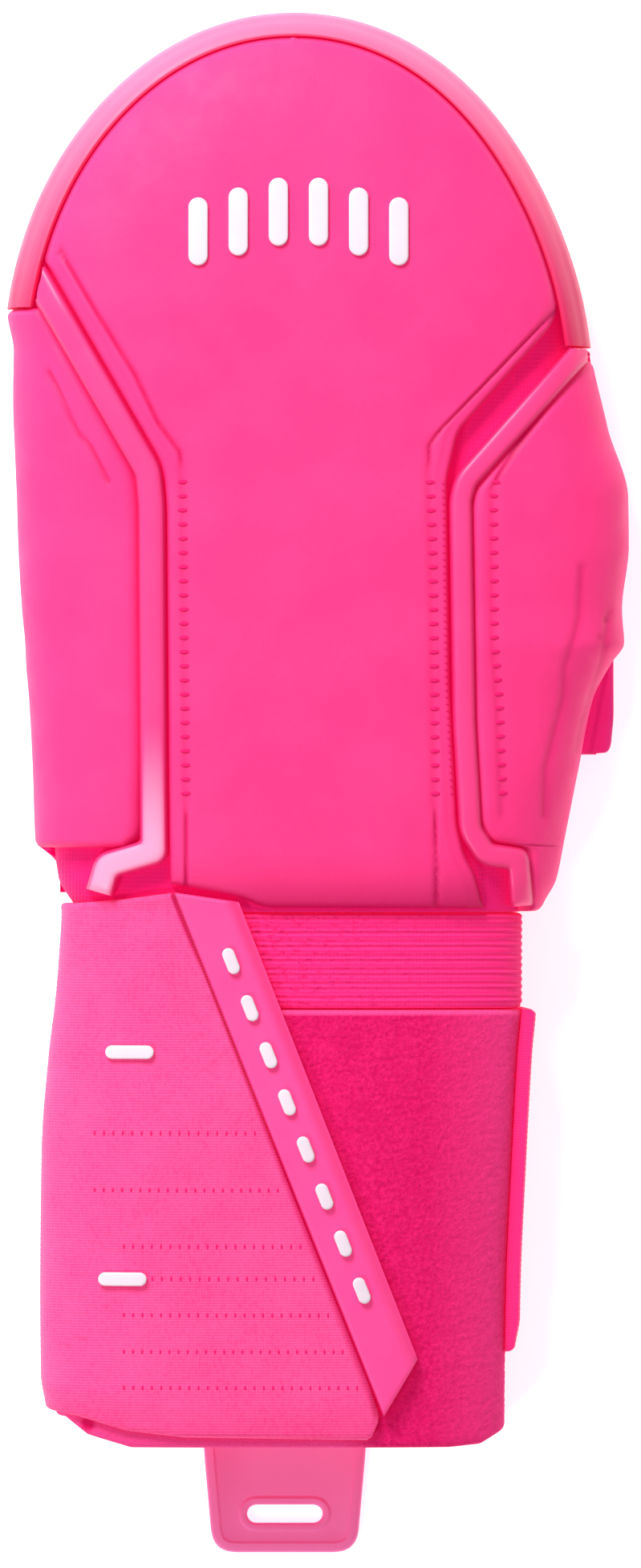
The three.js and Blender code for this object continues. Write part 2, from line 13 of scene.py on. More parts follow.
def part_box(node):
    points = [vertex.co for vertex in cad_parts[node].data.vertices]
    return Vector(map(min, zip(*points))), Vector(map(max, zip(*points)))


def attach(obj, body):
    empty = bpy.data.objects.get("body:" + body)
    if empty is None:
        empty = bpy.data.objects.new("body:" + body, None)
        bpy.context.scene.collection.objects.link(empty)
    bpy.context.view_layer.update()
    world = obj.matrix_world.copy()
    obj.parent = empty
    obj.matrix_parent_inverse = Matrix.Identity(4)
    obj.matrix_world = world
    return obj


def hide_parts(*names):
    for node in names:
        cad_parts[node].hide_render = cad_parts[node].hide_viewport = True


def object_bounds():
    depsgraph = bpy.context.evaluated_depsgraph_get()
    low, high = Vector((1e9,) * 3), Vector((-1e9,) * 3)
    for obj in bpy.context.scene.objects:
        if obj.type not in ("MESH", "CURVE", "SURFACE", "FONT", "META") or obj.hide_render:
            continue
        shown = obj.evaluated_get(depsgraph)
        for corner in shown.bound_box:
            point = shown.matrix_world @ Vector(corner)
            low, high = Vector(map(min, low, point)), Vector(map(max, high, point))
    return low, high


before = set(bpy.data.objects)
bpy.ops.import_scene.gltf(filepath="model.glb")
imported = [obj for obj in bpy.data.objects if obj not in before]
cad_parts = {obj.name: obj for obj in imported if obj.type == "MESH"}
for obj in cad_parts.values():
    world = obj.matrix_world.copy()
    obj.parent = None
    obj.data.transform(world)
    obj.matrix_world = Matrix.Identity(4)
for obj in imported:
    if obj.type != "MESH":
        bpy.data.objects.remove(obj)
cad_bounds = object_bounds()

MM = 0.001
random = np.random.default_rng(7)

# Sizes read from the frame
TIP_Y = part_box("tip_bumper")[1].y
WRIST_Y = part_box("hand_pocket")[0].y
HEM_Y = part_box("cuff_sleeve")[0].y
PULL_LOW, PULL_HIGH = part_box("pull_tab")
HAND_LENGTH = TIP_Y - WRIST_Y
HAND_WIDTH = 2 * cad_bounds[1][0]
HAND_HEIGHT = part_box("back_panel")[1].z
CUFF_LENGTH = WRIST_Y - HEM_Y
CUFF_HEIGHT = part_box("cuff_sleeve")[1].z
SLEEVE_REACH = 1.136
CUFF_WIDTH = 2 * -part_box("cuff_sleeve")[0].x / SLEEVE_REACH
ARCH_SHARE = 0.46
ARCH_LENGTH = ARCH_SHARE * HAND_LENGTH
ARCH_Y = TIP_Y - ARCH_LENGTH

# Layers over the hollow core
PAD_THICKNESS = 3.6 * MM
CLEARANCE = 0.3 * MM
COVER = PAD_THICKNESS + CLEARANCE
CORE_FLOOR = 3 * MM
POCKET_WALL = 3 * MM
BAND_WALL = 2.2 * MM
SLEEVE_WALL = 3 * MM
STRAP_TOP = 3 * MM
TAB_RISE = 0.7 * MM
RIB_RISE = 0.9 * MM
MARK_RISE = 0.9 * MM
PALM_RIM = 6.7 * MM
BUMPER_WIDTH = 5.4 * MM
LEFT_RIB_WIDTH = 5.7 * MM
RIGHT_RIB_WIDTH = 4.8 * MM
STRAP_WRAP_HEIGHT = 20 * MM

# Shape of the sections
ARCH_ROUND = 2.05
PALM_SQUARE = 4.5
PALM_PRESS = 1.05

# Outline of the hand over its pads: along, left, right, top, waist, square. Along is a share of the hand's
# length above the wrist line, left and right are shares of half its width, top is a share of its height.
HAND_SECTIONS = [
    (1, -1.058, 0.891, 0.89, 0.4, 3.2),
    (0.835, -1.062, 0.886, 0.94, 0.4, 3.2),
    (0.674, -1.048, 0.893, 0.97, 0.4, 3.2),
    (0.621, -1.003, 0.892, 0.98, 0.4, 3.2),
    (0.54, -0.99, 0.93, 0.99, 0.4, 3.2),
    (0.46, -0.98, 0.998, 1, 0.4, 3.2),
    (0.406, -0.975, 1, 1, 0.4, 3.2),
    (0.335, -0.963, 0.978, 1, 0.4, 3.2),
    (0.298, -0.953, 0.985, 1, 0.4, 3.2),
    (0.275, -0.95, 0.942, 0.99, 0.4, 3.2),
    (0.235, -0.94, 0.884, 0.99, 0.4, 3.2),
    (0.156, -0.928, 0.836, 0.98, 0.4, 3.2),
    (0.085, -0.921, 0.795, 0.965, 0.41, 3.1),
    (0.035, -0.905, 0.765, 0.93, 0.43, 3),
]

# The band and the sleeve: along is a share of the cuff's length below the wrist line
CUFF_SECTIONS = [
    (0, -1.045, 0.87, 0.945, 0.48, 2.8),
    (0.08, -1.055, 0.868, 0.925, 0.5, 2.7),
    (0.16, -1.07, 0.868, 0.945, 0.5, 2.7),
    (0.27, -1.1, 0.848, 0.98, 0.5, 2.7),
    (0.45, -1.13, 0.825, 1, 0.5, 2.7),
    (0.72, -SLEEVE_REACH, 0.798, 1, 0.5, 2.7),
    (1, -1.13, 0.79, 0.985, 0.5, 2.7),
]

# Seams, in shares of half the hand's width and of its length above the wrist line
LEFT_SEAM = [
    (-0.895, 0.692),
    (-0.552, 0.487),
    (-0.541, 0.45),
    (-0.533, 0.085),
    (-0.575, 0.062),
    (-0.684, 0.051),
    (-0.709, 0.021),
]
RIGHT_SEAM = [
    (0.873, 0.632),
    (0.471, 0.477),
    (0.453, 0.456),
    (0.465, 0.21),
    (0.485, 0.09),
    (0.536, 0.063),
    (0.64, 0.058),
    (0.653, 0.006),
]
BACK_THUMB_EDGE = [
    (0.8, 0.692),
    (0.741, 0.646),
    (0.445, 0.531),
    (0.409, 0.478),
    (0.419, 0.25),
    (0.4425, 0.095),
    (0.468, 0.06),
    (0.497, 0.045),
    (0.53, 0.003),
]
BACK_LOWER_EDGE = [(0.55, 0.003), (-0.178, 0.004), (-0.256, 0.016), (-0.45, 0.029), (-0.6, 0.04)]
LEFT_PANEL_END = 0.071
BUMPER_ENDS = {"left": 0.67, "right": 0.627}
BACK_LEFT_LINE = [
    (-0.837, 0.733),
    (-0.73, 0.67),
    (-0.593, 0.594),
    (-0.518, 0.54),
    (-0.448, 0.508),
    (-0.44, 0.478),
    (-0.429, 0.121),
    (-0.429, -0.009),
]
BACK_RIGHT_LINE = [
    (0.795, 0.679),
    (0.575, 0.599),
    (0.38, 0.529),
    (0.352, 0.515),
    (0.354, 0.478),
    (0.362, 0.389),
    (0.372, 0.121),
    (0.376, -0.009),
]
LEFT_PANEL_LINE = [(-0.873, 0.598), (-0.85, 0.583), (-0.781, 0.531), (-0.737, 0.514), (-0.681, 0.476)]
THUMB_LINE = [
    (0.844, 0.61),
    (0.669, 0.528),
    (0.58, 0.484),
    (0.559, 0.467),
    (0.562, 0.299),
    (0.577, 0.237),
    (0.585, 0.165),
    (0.593, 0.107),
]
THUMB_RIM = [
    (0.844, 0.381),
    (0.837, 0.326),
    (0.821, 0.303),
    (0.79, 0.27),
    (0.787, 0.24),
    (0.728, 0.158),
    (0.723, 0.107),
]
THUMB_SIDE = [(0.933, 0.331), (0.912, 0.281), (0.847, 0.21), (0.829, 0.179)]
THUMB_DIMPLES = [(0.922, 0.323), (0.902, 0.304)]
GUARD_LINE = [(0.943, 0.29), (0.907, 0.228), (0.876, 0.174)]
SEWN = (0.13, 0.475)
PALM_CORNER = [(-0.84, 0.03), (-0.856, 0.058), (-0.9, 0.07)]
# Where the strap's painted shadow falls on the sleeve, in shares of the cuff
STRAP_SHADOW_SPOT = (-0.99, 0.957)
DOT_ROWS = [0.413, 0.519, 0.624, 0.684, 0.752, 0.82, 0.887]
GUARD_OUTLINE = [(0.952, 0.33), (0.953, 0.215), (0.943, 0.18), (0.92, 0.174), (0.6, 0.176)]

# Strap, in shares of half the cuff's width and of its length below the wrist line
TAB_TOP_INNER = (-0.625, -0.036)
TAB_TOP_OUTER = (-0.345, -0.018)
TAB_BOTTOM_OUTER = (0.418, 0.835)
TAB_BOTTOM_INNER = (0.272, 0.942)
STRAP_TOP_EDGE = [(-1.4, -0.015), (-1.067, -0.015), (-0.854, -0.023), TAB_TOP_INNER]
STRAP_LOWER_EDGE = [
    (-1.4, 0.917),
    (-1.06, 0.943),
    (-0.854, 0.968),
    (-0.603, 0.98),
    (0.23, 0.985),
    TAB_BOTTOM_INNER,
]
STRAP_BEHIND_TOP = [(-0.95, -0.015), (1.1, 0.203)]
STRAP_BEHIND_LOW = [(-0.95, 0.91), (1.1, 0.812)]
HEM_OUTLINE = [
    (-1.4, 0.94),
    (-1.1, 0.945),
    (-1, 0.978),
    (-0.82, 1),
    (0.57, 1),
    (0.7, 0.995),
    (0.8, 0.97),
    (1.1, 0.96),
]

# Raised marks
EMBLEM_COUNT = 6
EMBLEM_PITCH = 8.2 * MM
EMBLEM_BAR = (14 * MM, 4 * MM)
EMBLEM_ARCH = 5 * MM
EMBLEM_CENTRE = (-0.068, 0.752)
TAB_MARK_COUNT = 8
TAB_MARK = (5.6 * MM, 2.6 * MM)
TAB_MARK_ENDS = (0.13, 0.8)
STRAP_MARK = (10 * MM, 2.8 * MM)
STRAP_MARKS = [(-0.81, 0.262), (-0.84, 0.685)]


# Places given in shares

def in_hand(rows):
    return np.array([(across * HAND_WIDTH / 2, WRIST_Y + along * HAND_LENGTH) for across, along in rows])


def in_cuff(rows):
    return np.array([(across * CUFF_WIDTH / 2, WRIST_Y - along * CUFF_LENGTH) for across, along in rows])


# The core's sections

def core_sections():
    rows = []
    half = CUFF_WIDTH / 2
    for along, left, right, top, waist, square in reversed(CUFF_SECTIONS):
        y = WRIST_Y - along * CUFF_LENGTH
        rows.append((y, left * half, right * half, top * CUFF_HEIGHT, waist, square))
    half = HAND_WIDTH / 2
    for along, left, right, top, waist, square in reversed(HAND_SECTIONS):
        y = WRIST_Y + along * HAND_LENGTH
        rows.append((y, left * half + COVER, right * half - COVER, top * HAND_HEIGHT - COVER, waist, square))
    return np.array(rows).T


SECTIONS = dict(zip(("y", "left", "right", "top", "waist", "square"), core_sections()))

# The height without its small steps, which are left to these rows
CALM_ROWS = [0, 2, 4, 6, 7, 9, 14, 18, 20]
SECTIONS["top"] = np.interp(SECTIONS["y"], SECTIONS["y"][CALM_ROWS], SECTIONS["top"][CALM_ROWS])

# The right side without its step below the thumb
STEP_LOW, STEP_HIGH = (WRIST_Y + along * HAND_LENGTH for along in (0.085, ARCH_SHARE))
kept = (SECTIONS["y"] < STEP_LOW + MM) | (SECTIONS["y"] > STEP_HIGH - MM)
SECTIONS["soft_right"] = np.interp(SECTIONS["y"], SECTIONS["y"][kept], SECTIONS["right"][kept])
SECTIONS["soft_right"] = np.maximum(SECTIONS["soft_right"], SECTIONS["right"])


def column(name, y):
    """Smooth curve through one column of the sections, without overshoot."""
    knots, values = SECTIONS["y"], SECTIONS[name]
    slopes = np.diff(values) / np.diff(knots)
    product = slopes[:-1] * slopes[1:]
    total = np.where(product > 0, slopes[:-1] + slopes[1:], 1)
    tangents = np.concatenate([[0], np.where(product > 0, 2 * product / total, 0), [0]])
    y = np.clip(y, knots[0], knots[-1])
    i = np.clip(np.searchsorted(knots, y, side="right") - 1, 0, len(knots) - 2)
    step = knots[i + 1] - knots[i]
    t = (y - knots[i]) / step
    start = values[i] * (2 * t**3 - 3 * t**2 + 1) + tangents[i] * step * (t**3 - 2 * t**2 + t)
    return start + values[i + 1] * (3 * t**2 - 2 * t**3) + tangents[i + 1] * step * (t**3 - t**2)


def section(y, out, right="right"):
    """The core's section at y with its skin moved outwards.

    Gives rise, narrow, middle, half, top, floor, waist and square.
    """
    y, out = np.broadcast_arrays(np.asarray(y, float), np.asarray(out, float))
    rise = np.clip((y - ARCH_Y) / (ARCH_LENGTH - COVER + out), 0, 1)
    narrow = (1 - rise**ARCH_ROUND) ** (1 / ARCH_ROUND)
    left, right, top = column("left", y), column(right, y), column("top", y)
    middle = (left + right) / 2
    half = (right - left) / 2 + out
    floor = np.maximum(0, CORE_FLOOR - out)
    return rise, narrow, middle, half, top + out, floor, top * column("waist", y), column("square", y)


def skin(y, share, out, above=True, right="right"):
    """Points of the skin: share runs from -1, the left side, to 1, the thumb side."""
    rise, narrow, middle, half, top, floor, waist, square = section(y, out, right)
    reach = (rise**ARCH_ROUND + np.abs(share * narrow) ** ARCH_ROUND) ** (1 / ARCH_ROUND)
    power = np.where(above, square, PALM_SQUARE)
    lift = (1 - np.minimum(1, reach) ** power) ** (1 / power)
    upper = waist + (top - waist) * lift
    lower = np.maximum(floor, waist - (waist - floor) * PALM_PRESS * lift)
    drawn_in = (column(right, y) - column("right", y)) * smooth(0.75, 1, share)
    x = middle + half * narrow * share - drawn_in
    return np.stack(np.broadcast_arrays(x, y, np.where(above, upper, lower)), axis=-1)


def skin_over(plan, out, above=True):
    """The skin's points over or under places in plan."""
    x, y = plan[..., 0], plan[..., 1]
    _, narrow, middle, half, *_ = section(y, out)
    share = np.clip((x - middle) / np.maximum(half * narrow, 1e-6), -1, 1)
    points = skin(y, share, out, above)
    points[..., 0] = x
    return points


def side_share(y, angle, above):
    """Share across the section at an angle round it."""
    power = np.where(above, column("square", y), PALM_SQUARE)
    return np.sign(np.cos(angle)) * np.abs(np.cos(angle)) ** (2 / power)


def side_angle(share, square):
    """Angle round the section of a share across its upper side."""
    return np.arccos(np.sign(share) * np.abs(share) ** (square / 2))


def arch_edge(out, rise):
    """Plan places of the round end's outline on the left and on the right, at shares of its height."""
    y = ARCH_Y + (ARCH_LENGTH - COVER + out) * rise
    _, narrow, middle, half, *_ = section(y, out)
    return middle - half * narrow, middle + half * narrow, y


# Lines in plan

def rounded(line, radius, turns=6):
    """The line with its corners rounded."""
    line = np.asarray(line, float)
    points = [line[0]]
    radii = np.broadcast_to(radius, len(line) - 2)
    for before, corner, after, reach in zip(line[:-2], line[1:-1], line[2:], radii):
        into, away = before - corner, after - corner
        start = corner + into * min(0.5, reach / np.linalg.norm(into))
        end = corner + away * min(0.5, reach / np.linalg.norm(away))
        for t in np.linspace(0, 1, turns):
            points.append((1 - t) ** 2 * start + 2 * t * (1 - t) * corner + t**2 * end)
    points = np.array(points + [line[-1]])
    moved = np.linalg.norm(np.diff(points, axis=0), axis=1) > 1e-6
    return points[np.concatenate([[True], moved])]


def shifted(line, distance):
    """The line moved sideways, to its right hand side, with its corners kept."""
    line = np.asarray(line, float)
    steps = np.diff(line, axis=0)
    steps = steps / np.linalg.norm(steps, axis=1)[:, None]
    into = np.vstack([steps[:1], steps])
    away = np.vstack([steps, steps[-1:]])
    side = np.stack([into[:, 1] + away[:, 1], -into[:, 0] - away[:, 0]], axis=1)
    side = side / np.linalg.norm(side, axis=1)[:, None]
    stretch = np.maximum(0.5, side[:, 0] * into[:, 1] - side[:, 1] * into[:, 0])
    return line + side * (distance / stretch)[:, None]


def drawn_on(line, reach):
    """The line drawn on from its first point."""
    into = line[0] - line[1]
    return np.vstack([line[0] + into * reach / np.linalg.norm(into), line])


def resampled(line, step):
    """Even points along a line."""
    lengths = np.concatenate([[0], np.cumsum(np.linalg.norm(np.diff(line, axis=0), axis=1))])
    places = np.linspace(0, lengths[-1], max(2, int(round(lengths[-1] / step)) + 1))
    return np.stack([np.interp(places, lengths, line[:, i]) for i in range(line.shape[1])], axis=1)


def normals(line):
    """Unit vectors to the right hand side of a line in plan."""
    along = np.gradient(line, axis=0)
    along = along / np.linalg.norm(along, axis=1)[:, None]
    return np.stack([along[:, 1], -along[:, 0]], axis=1)


def distance(points, line):
    """Distance in plan from each point to a line."""
    flat = np.asarray(points)[..., :2].reshape(-1, 2)
    best = np.full(len(flat), np.inf)
    for start, end in zip(line[:-1], line[1:]):
        span = end - start
        t = np.clip(((flat - start) @ span) / max(span @ span, 1e-18), 0, 1)
        best = np.minimum(best, np.linalg.norm(flat - start - t[:, None] * span, axis=1))
    return best.reshape(np.asarray(points).shape[:-1])


def crossing(line, y):
    """Where a line that runs downwards passes each height y."""
    order = np.argsort(line[:, 1])
    return np.interp(y, line[order, 1], line[order, 0])


def round_edge(d, radius, drop):
    """How far a surface falls off towards its edge, d away from it."""
    t = np.clip(1 - d / radius, 0, 1)
    return drop * (1 - np.sqrt(np.maximum(0, 1 - t**2)))


def groove(d, half, depth):
    """How deep a soft groove is at a distance from its middle."""
    return depth * np.exp(-((d / half) ** 2))


def crease(points, line, half):
    """1 on a line in plan, falling to 0 beside it."""
    return np.exp(-((distance(points, line) / half) ** 2))


def smooth(low, high, value):
    t = np.clip((value - low) / (high - low), 0, 1)
    return t * t * (3 - 2 * t)


# Meshes

SHARP_ANGLE = math.radians(40)


def add_mesh(name, points, faces):
    mesh = bpy.data.meshes.new(name)
    corners = [tuple(point) for point in np.asarray(points, float)]
    mesh.from_pydata(corners, [], [tuple(int(i) for i in face) for face in faces])
    mesh.validate()
    obj = bpy.data.objects.new(name, mesh)
    bpy.context.scene.collection.objects.link(obj)
    mesh.shade_smooth()
    mesh.set_sharp_from_angle(angle=SHARP_ANGLE)
    return obj


def grid_faces(rows, columns, first=0, wrap=False):
    i, j = np.meshgrid(np.arange(rows - 1), np.arange(columns if wrap else columns - 1), indexing="ij")
    k = (j + 1) % columns
    low, high = i * columns, (i + 1) * columns
    return np.stack([low + j, low + k, high + k, high + j], axis=-1).reshape(-1, 4) + first


def signed_volume(points, faces):
    total = 0.0
    faces = np.asarray(faces)
    for k in range(1, faces.shape[1] - 1):
        a, b, c = points[faces[:, 0]], points[faces[:, k]], points[faces[:, k + 1]]
        total += np.einsum("ij,ij->i", a, np.cross(b, c)).sum()
    return total


def shade(obj, values):
    """Per point painted light and shade: 1 in creases, gaps and shaded places, -1 at painted highlights and
    at lighter parts of the material.
    """
    attribute = obj.data.attributes.new("shade", "FLOAT", "POINT")
    full = np.zeros(len(obj.data.vertices), np.float32)
    full[: values.size] = values.ravel()
    attribute.data.foreach_set("value", full)
    return obj


def thinned(rows, count):
    """Fewer of the rows, with both end rows kept."""
    return rows[np.linspace(0, len(rows) - 1, count).round().astype(int)]


def shell(name, outer, inner):
    """Closed skin between two grids of points whose borders are joined."""
    rows, columns = outer.shape[:2]
    count = rows * columns
    points = np.vstack([outer.reshape(-1, 3), inner.reshape(-1, 3)])
    faces = [grid_faces(rows, columns), grid_faces(rows, columns, count)[:, ::-1]]
    index = np.arange(count).reshape(rows, columns)
    border = np.concatenate([index[0, :-1], index[:-1, -1], index[-1, :0:-1], index[:0:-1, 0]])
    after = np.roll(border, -1)
    faces.append(np.stack([after, border, border + count, after + count], axis=1))
    faces = np.vstack(faces)
    if signed_volume(points, faces) < 0:
        faces = faces[:, ::-1]
    return add_mesh(name, points, faces)


def tube(name, rings, capped_ends=False, closed=False):
    """Skin through rings of equal length, either capped at both ends or closed on itself."""
    rows, columns = rings.shape[:2]
    points = rings.reshape(-1, 3)
    faces = [grid_faces(rows, columns, wrap=True)]
    if closed:
        last = (rows - 1) * columns
        j = np.arange(columns)
        k = (j + 1) % columns
        faces.append(np.stack([last + j, last + k, k, j], axis=1))
    faces = [tuple(f) for f in np.vstack(faces)]
    if signed_volume(points, np.array(faces)) < 0:
        faces = [f[::-1] for f in faces]
    if capped_ends:
        sign = 1 if faces[0][0] == 0 else -1
        first = tuple(range(columns))[:: -sign]
        last = tuple(range((rows - 1) * columns, rows * columns))[::sign]
        faces += [first, last]
    return add_mesh(name, points, faces)


def joined(name, parts):
    """One mesh from many small closed ones, each given as points and faces."""
    points, faces, first = [], [], 0
    for part_points, part_faces in parts:
        points.append(part_points)
        faces += [tuple(i + first for i in face) for face in part_faces]
        first += len(part_points)
    return add_mesh(name, np.vstack(points), faces)


def finish_piece(obj, slot, *nodes, material=None):
    obj.data.materials.append(MATERIALS[material or slot])
    if nodes:
        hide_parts(*nodes)
    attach(obj, "root")
    return obj


# Materials

class Nodes:
    """A material's node tree, with short ways to add what the materials here need."""

    def __init__(self, name):
        self.material = bpy.data.materials.new(name)
        self.material.use_nodes = True
        self.tree = self.material.node_tree
        self.shader = self.tree.nodes["Principled BSDF"]
        self.place = self.add("ShaderNodeTexCoord").outputs["Object"]

    def add(self, kind, **values):
        node = self.tree.nodes.new(kind)
        for key, value in values.items():
            setattr(node, key, value)
        return node

    def link(self, source, target):
        self.tree.links.new(source, target)

    def scaled(self, scale):
        node = self.add("ShaderNodeMapping")
        node.inputs["Scale"].default_value = scale
        self.link(self.place, node.inputs["Vector"])
        return node.outputs["Vector"]

    def noise(self, size, detail=2.0, roughness=0.5, stretch=(1, 1, 1)):
        """Noise whose features measure about size metres."""
        node = self.add("ShaderNodeTexNoise")
        node.inputs["Scale"].default_value = 1
        node.inputs["Detail"].default_value = detail
        node.inputs["Roughness"].default_value = roughness
        self.link(self.scaled([1 / (size * s) for s in stretch]), node.inputs["Vector"])
        return node.outputs["Fac"]

    def cells(self, size, feature="F1", stretch=(1, 1, 1)):
        node = self.add("ShaderNodeTexVoronoi", feature=feature)
        node.inputs["Scale"].default_value = 1
        self.link(self.scaled([1 / (size * s) for s in stretch]), node.inputs["Vector"])
        return node.outputs["Distance"]

    def waves(self, pitch, axis, distortion=0.0):
        node = self.add("ShaderNodeTexWave", bands_direction=axis)
        node.inputs["Scale"].default_value = 1
        node.inputs["Distortion"].default_value = distortion
        node.inputs["Detail"].default_value = 1
        scale = 2 * math.pi / (20 * pitch)
        self.link(self.scaled((scale, scale, scale)), node.inputs["Vector"])
        return node.outputs["Fac"]

    def maths(self, operation, a, b):
        node = self.add("ShaderNodeMath", operation=operation)
        for socket, value in zip(node.inputs, (a, b)):
            if isinstance(value, (int, float)):
                socket.default_value = value
            else:
                self.link(value, socket)
        return node.outputs[0]

    def ramp(self, factor, low, high, bottom=0.0, top=1.0):
        node = self.add("ShaderNodeMapRange")
        self.link(factor, node.inputs["Value"])
        for key, value in (("From Min", low), ("From Max", high), ("To Min", bottom), ("To Max", top)):
            node.inputs[key].default_value = value
        return node.outputs["Result"]

    def mixed(self, factor, a, b):
        """Colour a with colour b laid in by factor: a is a socket or three numbers, b three numbers."""
        node = self.add("ShaderNodeMix", data_type="RGBA")
        self.link(factor, node.inputs["Factor"])
        if isinstance(a, tuple):
            node.inputs["A"].default_value = (*a, 1)
        else:
            self.link(a, node.inputs["A"])
        node.inputs["B"].default_value = (*b, 1)
        return node.outputs["Result"]

    def shaded(self, colour, dark, pale):
        """The colour with the piece's painted light and shade laid over it: dark in creases and shaded
        places, pale at painted highlights and lighter parts.
        """
        attribute = self.add("ShaderNodeAttribute", attribute_name="shade").outputs["Fac"]
        colour = self.mixed(self.ramp(attribute, 0, 1), colour, dark)
        return self.mixed(self.ramp(attribute, 0, -1), colour, pale)

    def along(self, axis, low, high):
        """0 at low and 1 at high, along one of the object's axes."""
        parts = self.add("ShaderNodeSeparateXYZ")
        self.link(self.place, parts.inputs["Vector"])
        return self.ramp(parts.outputs[axis], low, high)

    def bump(self, height, depth, below=None):
        node = self.add("ShaderNodeBump")
        node.inputs["Strength"].default_value = 1
        node.inputs["Distance"].default_value = depth
        self.link(height, node.inputs["Height"])
        if below is not None:
            self.link(below, node.inputs["Normal"])
        return node.outputs["Normal"]

    def finish(self, colour, normal=None, roughness=None, **values):
        self.link(colour, self.shader.inputs["Base Color"])
        if normal is not None:
            self.link(normal, self.shader.inputs["Normal"])
        if roughness is not None:
            self.link(roughness, self.shader.inputs["Roughness"])
        for key, value in values.items():
            self.shader.inputs[key.replace("_", " ")].default_value = value
        return self.material


# Painted glow: emission colours that keep the red of the pink strong in shade
PAINTED_GLOW = (0.8, 0.0, 0.09, 1)
PAINTED_COOL_GLOW = (0.78, 0.0, 0.16, 1)
CLOTH = {"Roughness": 0.85, "Specular_IOR_Level": 0.1, "Sheen_Weight": 0.1}
# Colour of the painted shade in creases, gaps and shaded places
DARK = (184, 14, 86)


def linear(red, green, blue):
    """Colour on the usual 0 to 255 scale as linear numbers."""
    def one(value):
        value = value / 255
        return value / 12.92 if value <= 0.04045 else ((value + 0.055) / 1.055) ** 2.4
    return one(red), one(green), one(blue)


def with_painted_glow(strength, **values):
    """Shader values of a hot pink material with a painted glow: it emits a little red light of its own,
    which keeps its shaded parts red.
    """
    return {"Emission_Color": PAINTED_GLOW, "Emission_Strength": strength, **values}


def pad_material():
    n = Nodes("moulded_pad")
    blotches = n.ramp(n.noise(14 * MM, 3), 0.35, 0.65)
    colour = n.mixed(blotches, linear(249, 58, 133), linear(251, 64, 138))
    grain = n.noise(0.35 * MM, 3, 0.6)
    colour = n.mixed(n.ramp(grain, 0.5, 0.75, 0, 0.35), colour, linear(238, 50, 127))
    colour = n.shaded(colour, linear(*DARK), linear(253, 120, 180))
    normal = n.bump(grain, 0.03 * MM, n.bump(n.noise(1.6 * MM, 2), 0.04 * MM))
    rough = n.ramp(n.noise(5 * MM, 3), 0.3, 0.7, 0.5, 0.62)
    return n.finish(colour, normal, rough, **with_painted_glow(0.22, Specular_IOR_Level=0.22))


def rib_material():
    n = Nodes("satin_rib")
    colour = n.mixed(n.noise(12 * MM, 3), linear(250, 62, 134), linear(252, 70, 141))
    # Painted highlight: the pale colour laid on the lower part of the left rib; the dark colour is painted
    # shade at its edges
    colour = n.shaded(colour, linear(*DARK), linear(255, 190, 226))
    normal = n.bump(n.noise(0.6 * MM, 2), 0.006 * MM)
    rough = n.ramp(n.noise(4 * MM), 0.3, 0.7, 0.38, 0.48)
    shine = {"Coat_Weight": 0.15, "Coat_Roughness": 0.3, "Specular_IOR_Level": 0.35}
    return n.finish(colour, normal, rough, **with_painted_glow(0.22, **shine))


def bumper_material():
    n = Nodes("rubber_bumper")
    # Painted light: darker sides and a lighter finger end, where the key light from the finger end falls
    sides = n.mixed(n.noise(18 * MM, 3), linear(214, 14, 80), linear(220, 20, 90))
    colour = n.mixed(n.along("Y", 0.085, 0.145), sides, linear(246, 112, 158))
    colour = n.shaded(colour, linear(*DARK), linear(255, 190, 226))
    normal = n.bump(n.noise(0.4 * MM, 3), 0.012 * MM)
    rough = n.ramp(n.noise(6 * MM, 3), 0.3, 0.7, 0.4, 0.52)
    return n.finish(colour, normal, rough, **with_painted_glow(0.15, Specular_IOR_Level=0.35))


def neoprene_material():
    n = Nodes("jersey_neoprene")
    colour = n.mixed(n.noise(3 * MM, 3), linear(226, 26, 108), linear(240, 36, 120))
    knit = n.maths("MULTIPLY", n.waves(0.7 * MM, "X"), n.waves(0.9 * MM, "Y", 1.0))
    colour = n.mixed(n.ramp(knit, 0.2, 0.8, 0, 0.25), colour, linear(240, 44, 128))
    colour = n.shaded(colour, linear(*DARK), linear(246, 70, 146))
    return n.finish(colour, n.bump(knit, 0.1 * MM), **with_painted_glow(0.24, Emission_Color=PAINTED_COOL_GLOW, **CLOTH))


def palm_material():
    n = Nodes("palm_leather")
    colour = n.mixed(n.noise(8 * MM, 4), linear(248, 54, 138), linear(253, 66, 150))
    pores = n.cells(0.9 * MM, "DISTANCE_TO_EDGE")
    colour = n.shaded(colour, linear(*DARK), linear(253, 90, 160))
    normal = n.bump(n.ramp(pores, 0, 0.25), 0.06 * MM, n.bump(n.noise(6 * MM), 0.1 * MM))
    rough = n.ramp(n.noise(3 * MM), 0.3, 0.7, 0.5, 0.68)
    return n.finish(colour, normal, rough, **with_painted_glow(0.38, Emission_Color=PAINTED_COOL_GLOW, Specular_IOR_Level=0.25))


def knit_material():
    n = Nodes("ribbed_knit")
    rows = n.waves(0.95 * MM, "Y", 0.6)
    loops = n.waves(0.8 * MM, "X", 0.8)
    colour = n.mixed(rows, linear(240, 38, 118), linear(252, 56, 138))
    speckle = n.ramp(n.noise(0.7 * MM, 3, stretch=(1.8, 0.8, 1)), 0.52, 0.68)
    # Painted shadow of the strap tab: the dark speckles are laid in more strongly towards the tab
    tab_shadow = n.ramp(n.along("X", 0.032, -0.02), 0, 1, 0.15, 0.95)
    colour = n.mixed(n.maths("MULTIPLY", speckle, tab_shadow), colour, linear(196, 14, 88))
    colour = n.shaded(colour, linear(*DARK), linear(253, 76, 150))
    normal = n.bump(n.maths("MULTIPLY", rows, n.ramp(loops, 0, 1, 0.6, 1)), 0.12 * MM)
    return n.finish(colour, normal, **with_painted_glow(0.25, **CLOTH))


